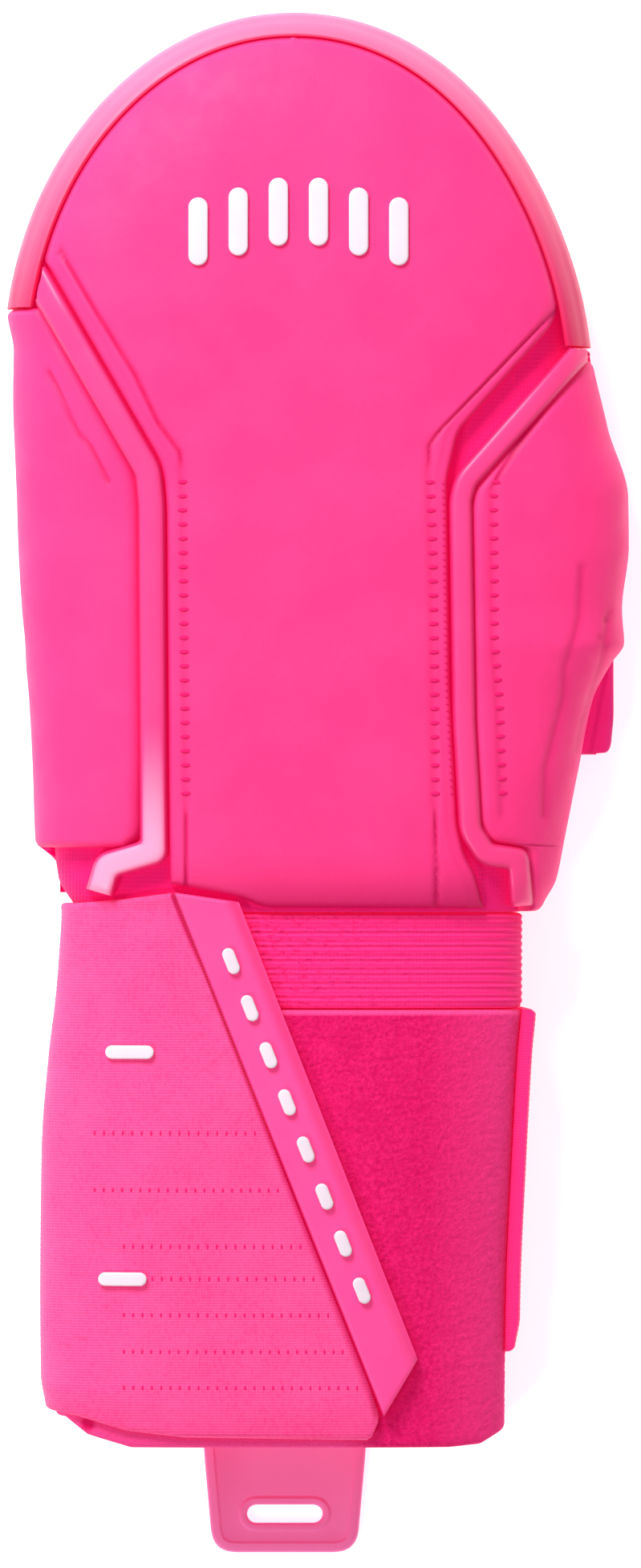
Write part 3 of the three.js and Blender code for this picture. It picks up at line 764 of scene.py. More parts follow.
def loop_material():
    n = Nodes("brushed_loop")
    curls = n.noise(0.9 * MM, 4, 0.7)
    colour = n.mixed(n.ramp(curls, 0.35, 0.65), linear(210, 12, 94), linear(244, 38, 122))
    # Painted shade: dark patches laid in more strongly towards the left, the tab's side
    shade_patches = n.maths("MULTIPLY", n.ramp(n.noise(7 * MM, 4, 0.6), 0.35, 0.62), n.along("X", 0.04, -0.01))
    colour = n.mixed(n.ramp(shade_patches, 0, 1, 0, 0.6), colour, linear(206, 10, 90))
    # Painted light: the thumb side made lighter
    thumb_side_light = n.ramp(n.along("X", 0.022, 0.044), 0, 1, 0, 0.9)
    colour = n.mixed(thumb_side_light, colour, linear(255, 70, 152))
    colour = n.shaded(colour, linear(*DARK), linear(255, 84, 160))
    normal = n.bump(curls, 0.5 * MM, n.bump(n.noise(0.35 * MM, 3, 0.7), 0.2 * MM))
    return n.finish(colour, normal, **with_painted_glow(0.22, Roughness=0.95, Specular_IOR_Level=0.05, Sheen_Weight=0.08))


def elastic_material():
    n = Nodes("woven_elastic")
    warp = n.waves(0.6 * MM, "X", 0.6)
    weft = n.waves(0.55 * MM, "Y", 0.6)
    weave = n.maths("MULTIPLY", weft, n.ramp(warp, 0, 1, 0.4, 1))
    colour = n.mixed(weave, linear(244, 70, 140), linear(254, 96, 160))
    speckle = n.ramp(n.noise(0.8 * MM, 3, stretch=(0.8, 1.2, 1)), 0.48, 0.68, 0, 0.6)
    colour = n.mixed(speckle, colour, linear(240, 58, 130))
    pale_blotches = n.ramp(n.noise(9 * MM, 3), 0.35, 0.7, 0, 0.25)
    colour = n.mixed(pale_blotches, colour, linear(255, 104, 172))
    colour = n.mixed(n.along("X", 0.012, 0.038), colour, linear(243, 42, 122))
    colour = n.shaded(colour, linear(*DARK), linear(255, 120, 184))
    normal = n.bump(n.maths("MULTIPLY", n.ramp(warp, 0, 1, 0.5, 1), weft), 0.08 * MM)
    return n.finish(colour, normal, **with_painted_glow(0.25, Roughness=0.8, Specular_IOR_Level=0.15, Sheen_Weight=0.15))


def tab_material():
    n = Nodes("moulded_tab")
    colour = n.mixed(n.noise(10 * MM, 3), linear(250, 72, 148), linear(252, 82, 155))
    colour = n.shaded(colour, linear(*DARK), linear(255, 142, 206))
    normal = n.bump(n.noise(0.5 * MM, 3), 0.015 * MM)
    rough = n.ramp(n.noise(5 * MM), 0.3, 0.7, 0.42, 0.54)
    return n.finish(colour, normal, rough, **with_painted_glow(0.25, Specular_IOR_Level=0.3))


def mark_material():
    n = Nodes("white_mark")
    colour = n.mixed(n.noise(5 * MM, 3), linear(240, 218, 232), linear(246, 230, 240))
    return n.finish(colour, n.bump(n.noise(0.4 * MM, 2), 0.01 * MM), None, Roughness=0.42)


def thread_material(name, colour):
    n = Nodes(name)
    twist = n.waves(0.35 * MM, "DIAGONAL")
    shades = n.mixed(twist, tuple(0.88 * c for c in colour), colour)
    return n.finish(shades, n.bump(twist, 0.05 * MM), **with_painted_glow(0.2, Roughness=0.7, Specular_IOR_Level=0.1))


MATERIALS = {
    "pad": pad_material(),
    "rib": rib_material(),
    "bumper": bumper_material(),
    "neoprene": neoprene_material(),
    "palm": palm_material(),
    "knit": knit_material(),
    "loop": loop_material(),
    "elastic": elastic_material(),
    "tab": tab_material(),
    "mark": mark_material(),
    "pad_thread": thread_material("pad_thread", linear(234, 36, 116)),
    "fine_thread": thread_material("fine_thread", linear(234, 48, 126)),
}


# Camera, floor and light

FRAME_HEIGHT = 322.4 * MM
FRAME_MIDDLE_X = 0.17 * MM
CAMERA_DISTANCE = 3
SENSOR = 36
FLOOR_SIZE = 4
FOCUS_HEIGHT = 15 * MM


def camera():
    data = bpy.data.cameras.new("camera")
    data.sensor_width = SENSOR
    data.lens = SENSOR * CAMERA_DISTANCE / FRAME_HEIGHT
    data.clip_end = 20
    obj = bpy.data.objects.new("camera", data)
    obj.location = (FRAME_MIDDLE_X, 0, CAMERA_DISTANCE + FOCUS_HEIGHT)
    bpy.context.scene.collection.objects.link(obj)
    bpy.context.scene.camera = obj


def floor():
    half = FLOOR_SIZE / 2
    corners = [(-half, -half, 0), (half, -half, 0), (half, half, 0), (-half, half, 0)]
    obj = add_mesh("floor", corners, [(0, 1, 2, 3)])
    n = Nodes("pale_floor")
    colour = n.mixed(n.noise(0.3, 2), (0.93, 0.93, 0.93), (0.95, 0.95, 0.95))
    glow = {"Emission_Color": (1, 1, 1, 1), "Emission_Strength": 0.7}
    obj.data.materials.append(n.finish(colour, Roughness=0.8, **glow))


def area_light(name, place, size, power):
    data = bpy.data.lights.new(name, "AREA")
    data.shape = "DISK"
    data.size = size
    data.energy = power
    obj = bpy.data.objects.new(name, data)
    obj.location = place
    obj.rotation_euler = (-Vector(place)).to_track_quat("-Z", "Y").to_euler()
    bpy.context.scene.collection.objects.link(obj)


def studio():
    area_light("key", place=(-0.6, 1.25, 1.1), size=0.7, power=30)
    area_light("low_left", place=(-0.7, -0.9, 1.2), size=0.35, power=7)
    world = bpy.data.worlds.new("studio")
    world.use_nodes = True
    sky = world.node_tree.nodes["Background"]
    sky.inputs["Color"].default_value = (1, 1, 1, 1)
    sky.inputs["Strength"].default_value = 0.35
    bpy.context.scene.world = world
    bpy.context.scene.view_settings.view_transform = "Standard"


# Hand pocket, and the floor piece under it

def around(y, out, angles):
    """Rings of skin points at angles round the section, from the thumb side over the back."""
    y = np.asarray(y, float)[:, None]
    angles = np.asarray(angles)[None, :]
    above = np.broadcast_to(np.sin(angles) >= 0, (y.shape[0], angles.shape[1]))
    share = side_share(y, angles, above)
    return skin(np.broadcast_to(y, share.shape), share, out, above)


def arch_rows(out, count):
    reach = ARCH_LENGTH - COVER + out
    return ARCH_Y + reach * np.sin(np.pi * np.arange(1, count) / (2 * count))


def hand_pocket():
    angles = np.linspace(0, 2 * np.pi, 120, endpoint=False)
    straight = np.linspace(WRIST_Y, ARCH_Y, 60)
    outer = around(np.concatenate([straight, arch_rows(0, 40)]), 0, angles)
    inner = around(np.concatenate([straight, arch_rows(-POCKET_WALL, 40)]), -POCKET_WALL, angles)
    lip = around([WRIST_Y - 0.2 * MM], -POCKET_WALL / 2, angles)
    rings = np.concatenate([inner[::-1], lip, outer])
    obj = tube("hand_pocket_skin", rings, capped_ends=True)
    return finish_piece(obj, "neoprene", "hand_pocket")


def palm_pad():
    low_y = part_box("palm_pad")[0].y
    reach = COVER - BUMPER_WIDTH - CLEARANCE
    top_y = ARCH_Y + ARCH_LENGTH - COVER + reach
    rows = np.concatenate([
        np.linspace(low_y, ARCH_Y, 90),
        ARCH_Y + (top_y - ARCH_Y) * np.sin(np.pi * np.arange(1, 60) / 120),
    ])
    ends = {side: WRIST_Y + share * HAND_LENGTH for side, share in BUMPER_ENDS.items()}
    _, narrow, middle, half, _, low, waist, _ = section(rows, COVER)
    lift = (waist - PALM_RIM) / ((waist - low) * PALM_PRESS)
    rim = half * narrow * (1 - lift**PALM_SQUARE) ** (1 / PALM_SQUARE)
    rise = np.clip((rows - ARCH_Y) / (ARCH_LENGTH - COVER + reach), 0, 1)
    arch_left, arch_right, _ = arch_edge(reach, rise)
    left = np.where(rows > ends["left"], np.maximum(middle - rim, arch_left), middle - rim)
    right = np.where(rows > ends["right"], np.minimum(middle + rim, arch_right), middle + rim)
    corner_x, corner_y = in_hand(PALM_CORNER).T
    left = np.where(rows < corner_y[-1], np.maximum(left, np.interp(rows, corner_y, corner_x)), left)
    u = 0.5 - 0.5 * np.cos(np.pi * np.linspace(0, 1, 90))
    x = left[:, None] + (right - left)[:, None] * u[None, :]
    plan = np.stack(np.broadcast_arrays(x, rows[:, None]), axis=-1)
    outer = skin_over(plan, COVER, above=False)
    inner = skin_over(plan, CLEARANCE, above=False)
    inner[..., 2] = np.maximum(inner[..., 2], outer[..., 2] + 0.4 * MM)
    obj = shell("palm_pad_skin", outer, inner)
    return finish_piece(obj, "palm", "palm_pad")


# Moulded pads on the back of the hand

STRIP_SAMPLES = 240
GUARD_TUCK = 4 * MM

# Distances from a pad's edge at which its skin has points: the edge's roll, then the seam lines' places
ROLL_STEPS = [0, 0.08, 0.22, 0.42, 0.7, 1.05, 1.5, 2]
LINE_STEPS = [2.4, 2.7, 3, 3.3, 3.6, 3.9, 4.2, 4.5, 4.8, 5.1, 5.6, 6.4, 7.4]
EDGE_STEPS = np.array(ROLL_STEPS + LINE_STEPS) * MM
SEWN_LOW, SEWN_HIGH = (WRIST_Y + share * HAND_LENGTH for share in SEWN)
LINE_DEPTH = 0.5 * MM
CHANNEL_HALF = 1.1 * MM
CHANNEL_DEPTH = 0.35 * MM
SIDE_EDGE = (1.6 * MM, 1.7 * MM)
LOWER_FALL = 1.9 * MM
LOWER_FALL_REACH = 13 * MM
LOWER_FALL_SHARE = 0.07


def spread(width, inner_count):
    """Distances across each width: close together near both ends, even between."""
    width = np.asarray(width)[:, None]
    near = EDGE_STEPS[None, :] * np.minimum(1, 0.42 * width / EDGE_STEPS[-1])
    t = np.linspace(0, 1, inner_count + 2)[1:-1][None, :]
    middle = near[:, -1:] + (width - 2 * near[:, -1:]) * t
    return np.concatenate([near, middle, width - near[:, ::-1]], axis=1)


def edge_shade(d):
    return 0.5 * (1 - smooth(0.1 * MM, 0.8 * MM, d))


LONG_REACH = HAND_WIDTH / 3
LEFT_GAP = LEFT_RIB_WIDTH / 2 + CLEARANCE
RIGHT_GAP = RIGHT_RIB_WIDTH / 2 + CLEARANCE


def back_left_edge():
    line = drawn_on(shifted(in_hand(LEFT_SEAM), -LEFT_GAP)[:4], LONG_REACH)
    return rounded(np.vstack([line, in_hand([(-0.48, 0.031)])]), 3 * MM)


def back_right_edge():
    return rounded(drawn_on(in_hand(BACK_THUMB_EDGE), LONG_REACH), 2 * MM)


def back_panel():
    left_edge, right_edge = back_left_edge(), back_right_edge()
    lower = rounded(in_hand(BACK_LOWER_EDGE)[::-1], 2 * MM)
    reach = COVER - BUMPER_WIDTH - CLEARANCE
    foot_y = in_hand(BACK_LOWER_EDGE)[:, 1].min()
    top_y = ARCH_Y + ARCH_LENGTH - COVER + reach
    straight = foot_y + np.concatenate([EDGE_STEPS[:8], np.arange(2.8 * MM, ARCH_Y - foot_y, 0.9 * MM)])
    arch = ARCH_Y + (top_y - ARCH_Y) * np.sin(np.pi * np.linspace(0, 1, 110)[1:-1] / 2)
    rows = np.concatenate([straight, arch])
    y = rows[:, None]
    for _ in range(4):
        rise = np.clip((y - ARCH_Y) / (top_y - ARCH_Y), 0, 1)
        arch_left, arch_right, _ = arch_edge(reach, rise)
        left = np.maximum(crossing(left_edge, y), arch_left)
        right = np.minimum(crossing(right_edge, y), arch_right)
        if y.shape[1] == 1:
            x = left + spread((right - left)[:, 0], 70)
            u = (x - x[:, :1]) / (x[:, -1:] - x[:, :1])
        else:
            x = left + (right - left) * u
        fade = np.clip(1 - (rows - foot_y) / (25 * MM), 0, 1)[:, None]
        y = rows[:, None] + (np.interp(x, lower[:, 0], lower[:, 1]) - foot_y) * fade
    plan = np.stack([x, y], axis=-1)
    outline = [plan[0], plan[:, -1], plan[::-1, 0]]
    d = np.minimum.reduce([distance(plan, line) for line in outline])
    side = np.minimum(distance(plan, left_edge), distance(plan, right_edge))
    to_line = np.minimum(distance(plan, in_hand(BACK_LEFT_LINE)), distance(plan, in_hand(BACK_RIGHT_LINE)))
    sewn = smooth(SEWN_LOW - 5 * MM, SEWN_LOW - 2 * MM, y)
    sewn = sewn * smooth(SEWN_HIGH + 5 * MM, SEWN_HIGH + 2 * MM, y)
    fall = np.clip((WRIST_Y + LOWER_FALL_SHARE * HAND_LENGTH - y) / LOWER_FALL_REACH, 0, 1)
    out = COVER - round_edge(d, 1.4 * MM, 1.3 * MM) - LOWER_FALL * fall**2
    out = out - groove(to_line, 0.4 * MM, LINE_DEPTH) * (1 - sewn)
    out = out - groove(to_line, CHANNEL_HALF, CHANNEL_DEPTH) * sewn
    out = out - 0.3 * MM * (1 - smooth(1.5 * MM, 3 * MM, side)) + 0.3 * MM * smooth(4 * MM, 14 * MM, d)
    # Painted shade: darker in the seam lines, along the edges and towards the lower end, which slopes away
    # from the light
    dark = 0.8 * groove(to_line, 0.5 * MM, 1) * (1 - sewn) + 0.2 * groove(to_line, 1.2 * MM, 1) * sewn
    dark = dark + edge_shade(d) + fall**2
    obj = shell("back_panel_skin", skin_over(plan, out), skin_over(plan, CLEARANCE))
    shade(obj, np.clip(dark, 0, 1))
    return finish_piece(obj, "pad", "back_panel")


def side_strip(rows, seam_x, count, relief, side, right="right"):
    """Points from a seam on the back over one side of the hand and down to the palm, spread by length."""
    _, narrow, middle, half, _, low, waist, square = (a[:, None] for a in section(rows, COVER, right))
    start = side_angle(np.clip(side * (seam_x[:, None] - middle) / (half * narrow), -1, 1), square)
    drop = np.clip((waist - PALM_RIM - CLEARANCE) / ((waist - low) * PALM_PRESS), 0, 1)
    end = -np.arcsin(drop ** (PALM_SQUARE / 2))
    y = rows[:, None]

    def places(angle, out):
        return skin(y + 0 * angle, side * side_share(y, angle, angle >= 0), out, angle >= 0, right)

    angle = start + (end - start) * np.linspace(0, 1, STRIP_SAMPLES)[None, :]
    steps = np.linalg.norm(np.diff(places(angle, COVER), axis=1), axis=2)
    lengths = np.concatenate([np.zeros((len(rows), 1)), np.cumsum(steps, axis=1)], axis=1)
    from_seam = spread(lengths[:, -1], count)
    angle = np.stack([np.interp(*row) for row in zip(from_seam, lengths, angle)])
    out, dark = relief(places(angle, COVER), from_seam, lengths[:, -1:] - from_seam)
    return places(angle, out), places(angle, CLEARANCE), np.clip(dark, -1, 1)


def end_rows(start, end, pitch):
    """Rows along Y, closer together near both ends."""
    near = EDGE_STEPS[:9]
    middle = np.arange(start + near[-1] + pitch / 2, end - near[-1] - pitch / 2, pitch)
    return np.concatenate([start + near, middle, (end - near)[::-1]])


def left_panel():
    start = WRIST_Y + LEFT_PANEL_END * HAND_LENGTH
    end = WRIST_Y + BUMPER_ENDS["left"] * HAND_LENGTH - CLEARANCE
    seam = rounded(drawn_on(shifted(in_hand(LEFT_SEAM), LEFT_GAP)[:5], LONG_REACH), 3 * MM)
    rows = end_rows(start, end, 0.8 * MM)
    corner = 3 * MM
    inset = corner - np.sqrt(np.maximum(0, corner**2 - np.maximum(0, corner - (rows - start)) ** 2))
    seam_x = crossing(seam, rows) - inset
    bevel = in_hand(LEFT_PANEL_LINE)

    def relief(points, from_seam, from_foot):
        y = points[..., 1]
        d = np.minimum.reduce([distance(points, seam), from_foot, from_seam, y - start, end - y])
        on_bevel = crease(points, bevel, 0.5 * MM)
        # Painted shade: the bevel line, the edges, and the groove beside the rib, darker towards the wrist
        beside = (1 - smooth(0.6 * MM, 3 * MM, from_seam)) * (0.12 + 0.3 * smooth(12 * MM, -8 * MM, y))
        out = COVER - round_edge(d, *SIDE_EDGE) - 0.4 * MM * on_bevel
        return out, 0.7 * on_bevel + edge_shade(d) + beside

    outer, inner, dark = side_strip(rows, seam_x, 56, relief, -1)
    obj = shade(shell("left_panel_skin", outer, inner), dark)
    return finish_piece(obj, "pad", "left_panel")


def thumb_panel():
    start = WRIST_Y
    end = WRIST_Y + BUMPER_ENDS["right"] * HAND_LENGTH - CLEARANCE
    corners = [2.5 * MM] * 5 + [1.5 * MM] * 2
    seam = rounded(drawn_on(shifted(in_hand(RIGHT_SEAM), -RIGHT_GAP), LONG_REACH), corners)
    rows = end_rows(start, end, 0.7 * MM)
    line, rim, side = in_hand(THUMB_LINE), in_hand(THUMB_RIM), in_hand(THUMB_SIDE)

    def relief(points, from_seam, from_foot):
        y = points[..., 1]
        d = np.minimum.reduce([distance(points, seam), from_seam, from_foot, y - start, end - y])
        sewn = smooth(SEWN_HIGH + 1 * MM, SEWN_HIGH - 2 * MM, y)
        to_line = distance(points, line)
        lines = np.maximum(crease(points, rim, 0.9 * MM), crease(points, side, 0.8 * MM))
        spots = sum(crease(points, np.array([spot, spot]), 0.6 * MM) for spot in in_hand(THUMB_DIMPLES))
        out = COVER - round_edge(d, *SIDE_EDGE) - 0.25 * MM * lines - 0.2 * MM * spots
        out = out - groove(to_line, 0.5 * MM, 0.45 * MM) * (1 - sewn)
        out = out - groove(to_line, CHANNEL_HALF, CHANNEL_DEPTH) * sewn
        # Painted shade in the seam line, the creases, the dimples and along the edges
        dark = 0.8 * groove(to_line, 0.55 * MM, 1) * (1 - sewn) + 0.2 * groove(to_line, 1.2 * MM, 1) * sewn
        return out, dark + edge_shade(d) + 0.4 * lines + 0.5 * spots

    outer, inner, dark = side_strip(rows, crossing(seam, rows), 70, relief, 1, "soft_right")
    obj = shade(shell("thumb_panel_skin", outer, inner), dark)
    return finish_piece(obj, "pad", "thumb_panel")


def thumb_guard():
    low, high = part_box("thumb_guard")
    outline = rounded(in_hand(GUARD_OUTLINE), 1.5 * MM)
    rows = end_rows(low.y, high.y, 0.6 * MM)
    right = np.where(rows > outline[-1, 1], crossing(outline[:-1], rows), outline[-2, 0])
    _, _, middle, half, *_ = section(rows, COVER)
    left = middle + half - GUARD_TUCK
    x = left[:, None] + spread(right - left, 24)
    y = np.broadcast_to(rows[:, None], x.shape)
    d = np.minimum(right[:, None] - x, y - low.y)
    top = high.z - round_edge(d, 1.2 * MM, 1.2 * MM)
    bottom = low.z + round_edge(d, 1.2 * MM, 1.2 * MM)
    outer = np.stack([x, y, top], axis=-1)
    inner = np.stack([x, y, bottom], axis=-1)
    # Painted shade in the crease line and along the edges
    dark = 0.6 * crease(outer, in_hand(GUARD_LINE), 0.45 * MM) + 0.6 * (1 - smooth(0.2 * MM, 0.9 * MM, d))
    obj = shade(shell("thumb_guard_skin", outer, inner), np.clip(dark, 0, 1))
    return finish_piece(obj, "palm", "thumb_guard")


# Ribs along the seams

HALF_ACROSS = np.array([0.15, 0.38, 0.58, 0.74, 0.86, 0.94, 0.985, 1])
RIB_ACROSS = np.concatenate([-HALF_ACROSS[::-1], HALF_ACROSS])
RIB_SINK = 1.4 * MM
RIB_STEP = 0.7 * MM
CORNER_TURNS = 6


def strip_places(line, offsets, reach):
    """Places along a line and across it, with crisp corners on both sides of the strip."""
    steps = np.diff(line, axis=0)
    turn = np.sign(steps[:-1, 0] * steps[1:, 1] - steps[:-1, 1] * steps[1:, 0])
    columns = []
    for offset in offsets:
        path = shifted(line, offset)
        points = [path[0]]
        for i in range(1, len(path) - 1):
            near = reach * (1 + 0.5 * turn[i - 1] * offset / np.abs(offsets).max())
            into, away = path[i - 1] - path[i], path[i + 1] - path[i]
            start = path[i] + into * min(0.45, near / np.linalg.norm(into))
            end = path[i] + away * min(0.45, near / np.linalg.norm(away))
            for t in np.linspace(0, 1, CORNER_TURNS):
                points.append((1 - t) ** 2 * start + 2 * t * (1 - t) * path[i] + t**2 * end)
        columns.append(points + [path[-1]])
    knots = np.array(columns).transpose(1, 0, 2)
    rows, first_corner = [knots[:1]], 0
    for i, (a, b) in enumerate(zip(knots[:-1], knots[1:])):
        count = max(1, int(round(np.linalg.norm(b - a, axis=1).mean() / RIB_STEP)))
        rows.append(a + (b - a) * (np.arange(1, count + 1) / count)[:, None, None])
        if i == 0:
            first_corner = count
    return np.concatenate(rows), first_corner


def cut_at_bumper(places, first_corner, end_y):
    """Starts each column of a rib where it comes out from under the bumper."""
    x, y = places[..., 0], places[..., 1]
    free = np.where(y > end_y, -BUMPER_WIDTH - CLEARANCE, -0.8 * MM)
    _, narrow, middle, half, *_ = section(y, COVER + np.where(y > end_y, free, 0))
    covered = np.abs(x - middle) > half * narrow + np.where(y > end_y, 0, free)
    index = np.arange(len(places))
    result = places.copy()
    for k in range(places.shape[1]):
        hidden = np.nonzero(covered[:first_corner, k])[0]
        start = hidden[-1] + 1 if len(hidden) else 0
        spread = start + (first_corner - start) * index[:first_corner] / first_corner
        for axis in (0, 1):
            result[:first_corner, k, axis] = np.interp(spread, index, places[:, k, axis])
    return result


def rib(name, line, width, end_y, painted_highlight):
    offsets = RIB_ACROSS * width / 2
    line = np.vstack([drawn_on(line, LONG_REACH)[:1], line[1:]])
    places, first_corner = strip_places(line, offsets, 1.6 * MM)
    plan = cut_at_bumper(places, first_corner, end_y)
    bulge = (1 - np.abs(RIB_ACROSS) ** 4) ** (1 / 2.4)
    foot = np.arange(len(plan))[::-1, None] * RIB_STEP
    out = COVER - RIB_SINK + (RIB_RISE + RIB_SINK) * bulge[None, :] - round_edge(foot, 1 * MM, 0.8 * MM)
    # Painted shade along both edges of the rib, and a painted highlight over the lower part of the left rib
    dark = 0.7 * (1 - smooth(0.3 * MM, 0.9 * MM, (1 - np.abs(RIB_ACROSS)) * width / 2))
    dark = dark[None, :] - painted_highlight * smooth(14 * MM, -14 * MM, plan[..., 1]) * (1 - RIB_ACROSS[None, :] ** 4)
    obj = shell(name + "_skin", skin_over(plan, out), skin_over(plan, CLEARANCE))
    return finish_piece(shade(obj, np.clip(dark, -1, 1)), "rib", name)


def ribs():
    left = in_hand(LEFT_SEAM)
    foot = left[5] - left[4]
    corner_y = left[4, 1] + (left[3, 0] - left[4, 0]) * foot[1] / foot[0]
    left = np.vstack([left[:3], [(left[3, 0], corner_y)], left[5:]])
    ends = {side: WRIST_Y + share * HAND_LENGTH - CLEARANCE for side, share in BUMPER_ENDS.items()}
    rib("left_rib", left, LEFT_RIB_WIDTH, ends["left"], painted_highlight=0.75)
    rib("right_rib", in_hand(RIGHT_SEAM), RIGHT_RIB_WIDTH, ends["right"], painted_highlight=0)


# Rubber bumper round the finger end

BUMPER_ACROSS = np.array([1, 0.97, 0.9, 0.8, 0.68, 0.55, 0.42, 0.3, 0.2, 0.12, 0.06, 0.025, 0.006, 0])
BUMPER_LEDGE = 1.7 * MM
BUMPER_PLACES = 260


def tip_bumper():
    """Rings across the bumper, from the back over the outside to the palm side and back along the pocket."""
    offsets = -BUMPER_WIDTH * BUMPER_ACROSS
    inner_offsets = -np.array([BUMPER_WIDTH, BUMPER_WIDTH * 0.85, BUMPER_WIDTH * 0.75, COVER - CLEARANCE])
    t = np.linspace(0, 1, BUMPER_PLACES)

    def curve(offset, out, above):
        ends = [WRIST_Y + BUMPER_ENDS[side] * HAND_LENGTH - ARCH_Y for side in ("left", "right")]
        starts = [math.asin(end / (ARCH_LENGTH + offset)) for end in ends]
        angle = starts[0] + (np.pi - starts[1] - starts[0]) * t
        left, right, y = arch_edge(COVER + offset, np.sin(angle))
        plan = np.stack([np.where(angle <= np.pi / 2, left, right), y], axis=-1)
        return skin_over(plan, out, above)

    rings = []
    for offset in offsets:
        drop = round_edge(BUMPER_WIDTH + offset, 1.4 * MM, 1.4 * MM)
        drop = drop + groove(-offset - BUMPER_LEDGE, 0.3 * MM, 0.25 * MM)
        rings.append(curve(offset, COVER - drop, True))
    rings += [curve(offset, COVER, False) for offset in offsets[::-1][1:]]
    rings += [curve(offset, CLEARANCE, False) for offset in inner_offsets]
    rings += [curve(offset, CLEARANCE, True) for offset in inner_offsets[::-1]]
    obj = tube("tip_bumper_skin", np.stack(rings, axis=1), capped_ends=True)
    return finish_piece(obj, "bumper", "tip_bumper")


# Knitted band, sleeve and strap

BAND_PITCH = 1.45 * MM
BAND_WAVE = 0.12 * MM
SLEEVE_FUZZ = 0.05 * MM
TAB_WIDTH = 14 * MM
SLOT_SIZE = (15.6 * MM, 3.7 * MM)
SLOT_INSET = 8 * MM
STRAP_PITCH = 1.1 * MM
STRAP_WAVE = 0.035 * MM


def wrist_band():
    angles = np.linspace(0, 2 * np.pi, 180, endpoint=False)
    low_y, high_y = (corner.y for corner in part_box("wrist_band"))
    rows = np.linspace(low_y, high_y, 110)
    wave = BAND_WAVE * np.cos(2 * np.pi * (rows - low_y) / BAND_PITCH)
    ease = round_edge(np.minimum(rows - low_y, high_y - rows), 1.2 * MM, 0.9 * MM)
    outer = around(rows, (wave - BAND_WAVE - ease)[:, None], angles)
    inner = around(thinned(rows, 14), -BAND_WALL, angles)
    rings = np.concatenate([outer, inner[::-1]])
    obj = tube("wrist_band_skin", rings, closed=True)
    return finish_piece(obj, "knit", "wrist_band")


def cuff_sleeve():
    low_y, high_y = (corner.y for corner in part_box("cuff_sleeve"))
    angles = np.linspace(0, 2 * np.pi, 260, endpoint=False)
    hem = in_cuff(HEM_OUTLINE)
    v = np.concatenate([[0, 0.002, 0.006, 0.012], np.linspace(0.02, 0.985, 190), [0.992, 0.997, 1]])
    x_of = around([low_y], 0, angles)[0, :, 0]
    hem_y = np.interp(x_of, hem[:, 0], hem[:, 1])
    y = hem_y[None, :] + (high_y - hem_y)[None, :] * v[:, None]
    edge = np.minimum(y - hem_y[None, :], high_y - y)
    fuzz = random.normal(0, SLEEVE_FUZZ, y.shape)
    fuzz = (fuzz + np.roll(fuzz, 1, 1) + np.roll(fuzz, -1, 1)) / 1.7
    out = -round_edge(edge, 1.3 * MM, 1.1 * MM) + fuzz * smooth(0, 2 * MM, edge)
    above = np.broadcast_to(np.sin(angles)[None, :] >= 0, y.shape)
    share = side_share(y, angles, above)
    outer = skin(y, share, out, above)
    inner = thinned(skin(y, share, -SLEEVE_WALL + 0 * out, above), 22)
    rings = np.concatenate([outer, inner[::-1]])
    hem_side = smooth(14 * MM, 2 * MM, outer[..., 0]) * (1 - smooth(3 * MM, 4.5 * MM, y - hem_y[None, :]))
    pale = np.maximum(0.8 * hem_side, 0.95 * (1 - smooth(0.7 * MM, 1.2 * MM, high_y - y)))
    # Painted shadow of the strap: a dark spot on the sleeve by the strap's lower corner
    spot = np.linalg.norm(outer[..., :2] - in_cuff([STRAP_SHADOW_SPOT])[0], axis=-1)
    dark = 0.9 * (1 - smooth(0.8 * MM, 2 * MM, spot))
    obj = shade(tube("cuff_sleeve_skin", rings, closed=True), np.clip(dark - pale, -1, 1))
    return finish_piece(obj, "loop", "cuff_sleeve")


def strap_angle(x, y, out):
    """Angle round the section of a place on its upper side."""
    _, _, middle, half, _, _, _, square = section(y, out)
    return side_angle(np.clip((x - middle) / half, -1, 1), square)


